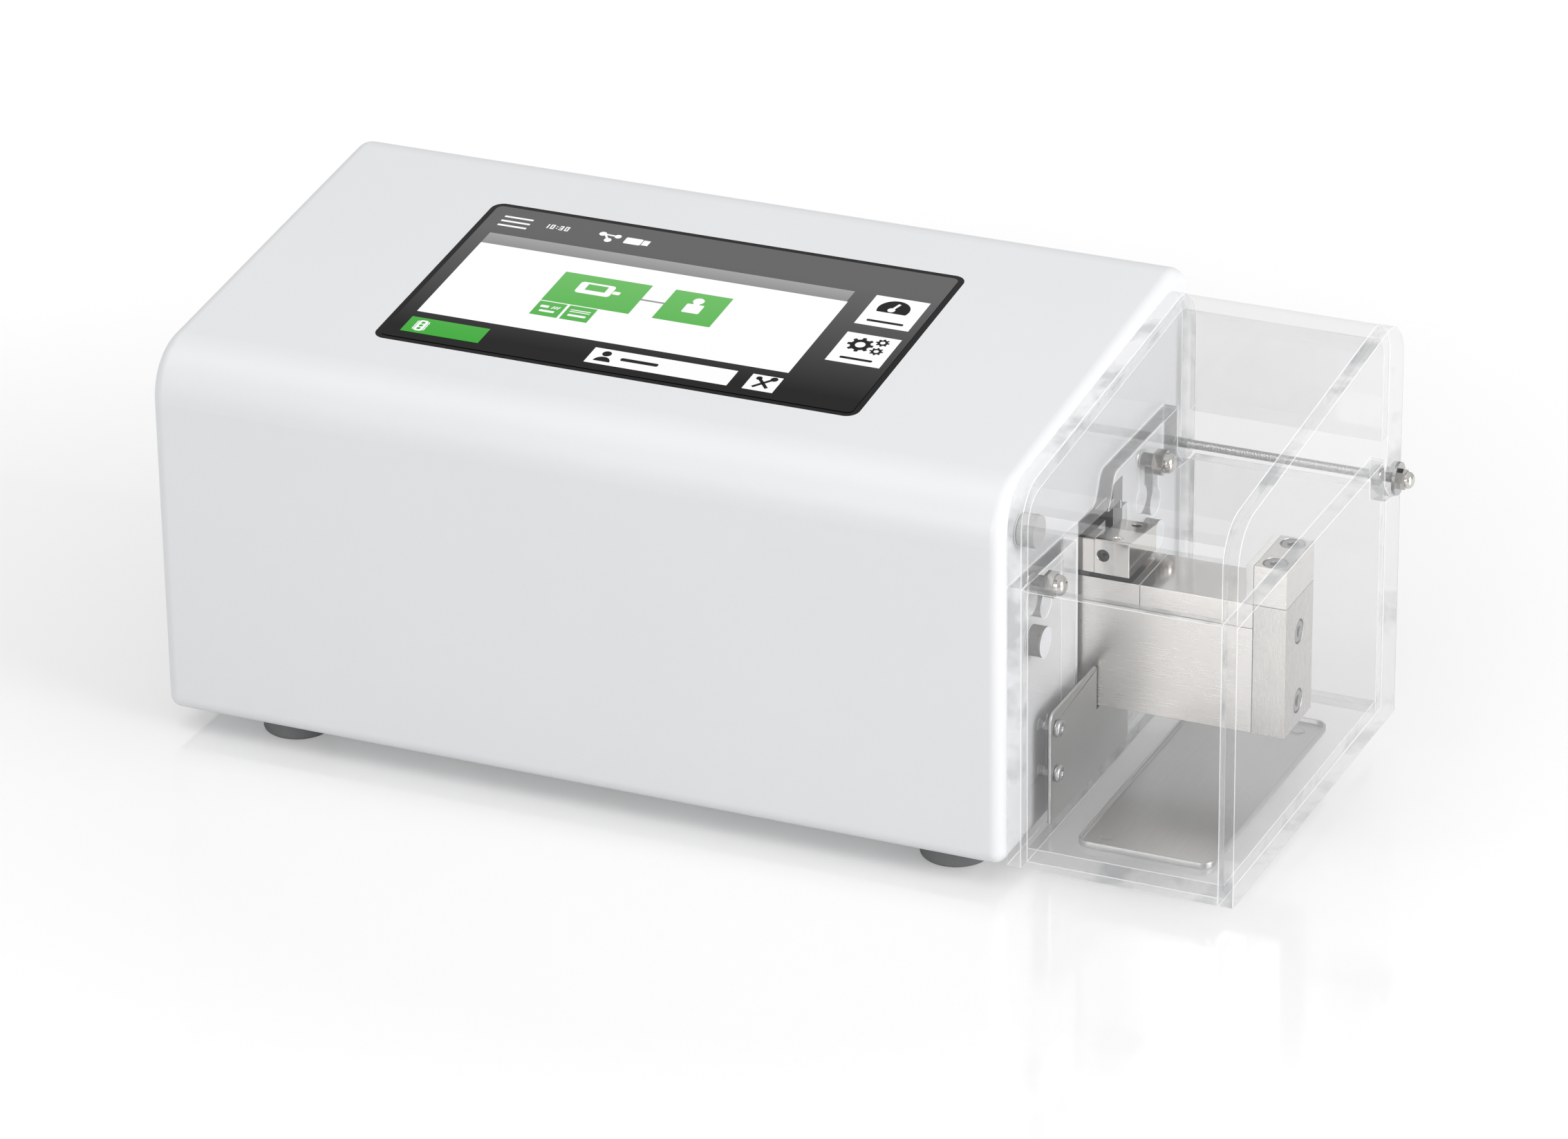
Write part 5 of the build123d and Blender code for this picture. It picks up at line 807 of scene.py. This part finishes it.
print("tiles:", len(white_tiles), "white and", len(green_tiles), "green")

# %% [markdown]
# Symbols tell a user what a tile does, and a handful of discs and bars is enough for one:
# three bars make a menu, a disc over half a disc a person, and toothed rings a setting.
# The clock's digits are put together from seven bars, as on a kitchen timer, so no font
# is needed.

# %% Shapes for symbols
def disc(x, s, r, n=28, start=0, sweep=360):
    """A circle, or the part of one between two angles closed by its chord."""
    count = n if sweep == 360 else n + 1
    angles = [radians(start + sweep * i / n) for i in range(count)]
    return [(x + r * cos(a), s + r * sin(a)) for a in angles]


def rod_between(a, b, width):
    """A straight bar between two points."""
    run = Vector(b) - Vector(a)
    side = Vector((-run.y, run.x)).normalized() * width / 2
    return [tuple(Vector(p) + k * side) for p, k in ((a, -1), (b, -1), (b, 1), (a, 1))]


def gear(x, s, r, teeth):
    """A gear's outline."""
    points = []
    for i in range(teeth):
        for part, reach in ((-0.28, 0.76), (-0.17, 1.0), (0.17, 1.0), (0.28, 0.76)):
            a = 2 * pi * (i + part) / teeth
            points.append((x + r * reach * cos(a), s + r * reach * sin(a)))
    return points


SEGMENTS = {"0": "abcdef", "1": "bc", "2": "abged", "3": "abgcd", "4": "fgbc", "5": "afgcd",
            "6": "afgedc", "7": "abc", "8": "abcdefg", "9": "abcdfg"}


def number(text, x, s, height):
    """A row of digits made of bars, as on a clock."""
    wide, thick = height * 0.5, height * 0.16
    middle, top = s + height / 2, s + height
    parts = {
        "a": (0, wide, top - thick, top), "d": (0, wide, s, s + thick),
        "g": (0, wide, middle - thick / 2, middle + thick / 2),
        "b": (wide - thick, wide, middle, top), "c": (wide - thick, wide, s, middle),
        "f": (0, thick, middle, top), "e": (0, thick, s, middle),
    }
    shapes = []
    for sign in text:
        if sign == ":":
            shapes += [bar(x, x + thick, s + height * f, s + height * f + thick) for f in (0.22, 0.62)]
            x += thick * 2.4
        else:
            for left, right, low, high in (parts[k] for k in SEGMENTS[sign]):
                shapes.append(bar(x + left, x + right, low, high))
            x += wide + thick * 1.6
    return shapes


print("a gear of 8 teeth has", len(gear(0, 0, 1, 8)), "corners")

# %% [markdown]
# White symbols stand on the green tiles and the grey ground, black ones on the white
# panels. What looks like a hole in a symbol is a last thin sheet in the colour below it.

# %% Symbols and the clock's numbers
white_symbols = [bar(67.3, 77.1, s - 0.45, s + 0.45) for s in (105.9, 108.6, 111.3)]
white_symbols += number("10:30", 82.0, 108.2, 2.6)
white_symbols += [disc(101.6, 110.2, 1.2), disc(106.9, 109.9, 1.1), disc(104.6, 107.0, 1.2)]
white_symbols += [rod_between((101.6, 110.2), (106.9, 109.9), 0.7),
                  rod_between((102.6, 110.0), (104.6, 107.0), 0.7)]
white_symbols += [rounded(109.8, 115.5, 106.7, 110.4, 0.5), bar(115.8, 118.0, 107.1, 110.1)]
white_symbols += [rounded(108.3, 120.0, 74.2, 80.9, 1.2), rounded(120.2, 122.6, 76.3, 78.1, 0.4)]
white_symbols += [disc(147.7, 80.3, 1.8), bar(146.7, 148.7, 77.0, 79.5),
                  rounded(144.9, 150.6, 73.0, 78.2, 0.5)]
white_symbols += [rounded(102.3, 105.1, 62.7, 64.0, 0.3)]
white_symbols += [rod_between((106.2 + i, 62.6), (106.9 + i, 64.1), 0.4) for i in (0.0, 0.9, 1.8)]
white_symbols += [bar(112.3, 119.0, 62.7, 63.1), bar(112.3, 119.0, 63.7, 64.1)]
white_symbols += [rounded(103.0, 108.0, 60.2, 61.3, 0.3), rounded(112.6, 118.6, 60.2, 61.3, 0.3)]
white_symbols += [rounded(71.0, 74.0, 38.0, 44.2, 1.0)]
white_symbols += [disc(72.5, s, 2.1, start=a, sweep=70) for s in (39.5, 41.1, 42.7) for a in (-35, 145)]
layer("screen_white_symbols", white_symbols, SYMBOL, panel_white)
symbol_windows = [bar(111.0, 117.7, 76.4, 79.9)] + [disc(72.5, s, 0.65) for s in (39.4, 41.1, 42.8)]
layer("screen_symbol_windows", symbol_windows, DETAIL, tile_green)
black_symbols = [
    disc(206.5, 93.5, 5.2, start=-25, sweep=230),
    gear(205.2, 70.9, 4.2, 8), gear(211.3, 73.9, 2.2, 8), gear(211.4, 68.6, 2.2, 8),
    disc(134.3, 42.7, 1.5), disc(134.3, 38.1, 2.7, start=0, sweep=180),
    rod_between((184.0, 38.2), (188.6, 43.6), 1.1), rod_between((188.6, 38.4), (184.2, 43.4), 1.1),
    disc(184.2, 43.4, 1.0), disc(188.9, 43.9, 1.2),
    rounded(139.6, 152.0, 40.1, 41.8, 0.6), rounded(201.0, 213.0, 85.0, 86.2, 0.5),
    rounded(202.0, 212.6, 62.0, 63.2, 0.5),
]
layer("screen_black_symbols", black_symbols, SYMBOL, symbol_black)
holes = [disc(205.2, 70.9, 1.6), disc(211.3, 73.9, 0.8), disc(211.4, 68.6, 0.8),
         disc(206.0, 93.0, 1.2), rod_between((206.0, 93.0), (207.3, 97.0), 0.9)]
layer("screen_symbol_holes", holes, DETAIL, panel_white)
print("symbols:", len(white_symbols), "white shapes and", len(black_symbols), "black")

# %% The colour view and the end
bpy.context.scene.view_settings.view_transform = "Standard"
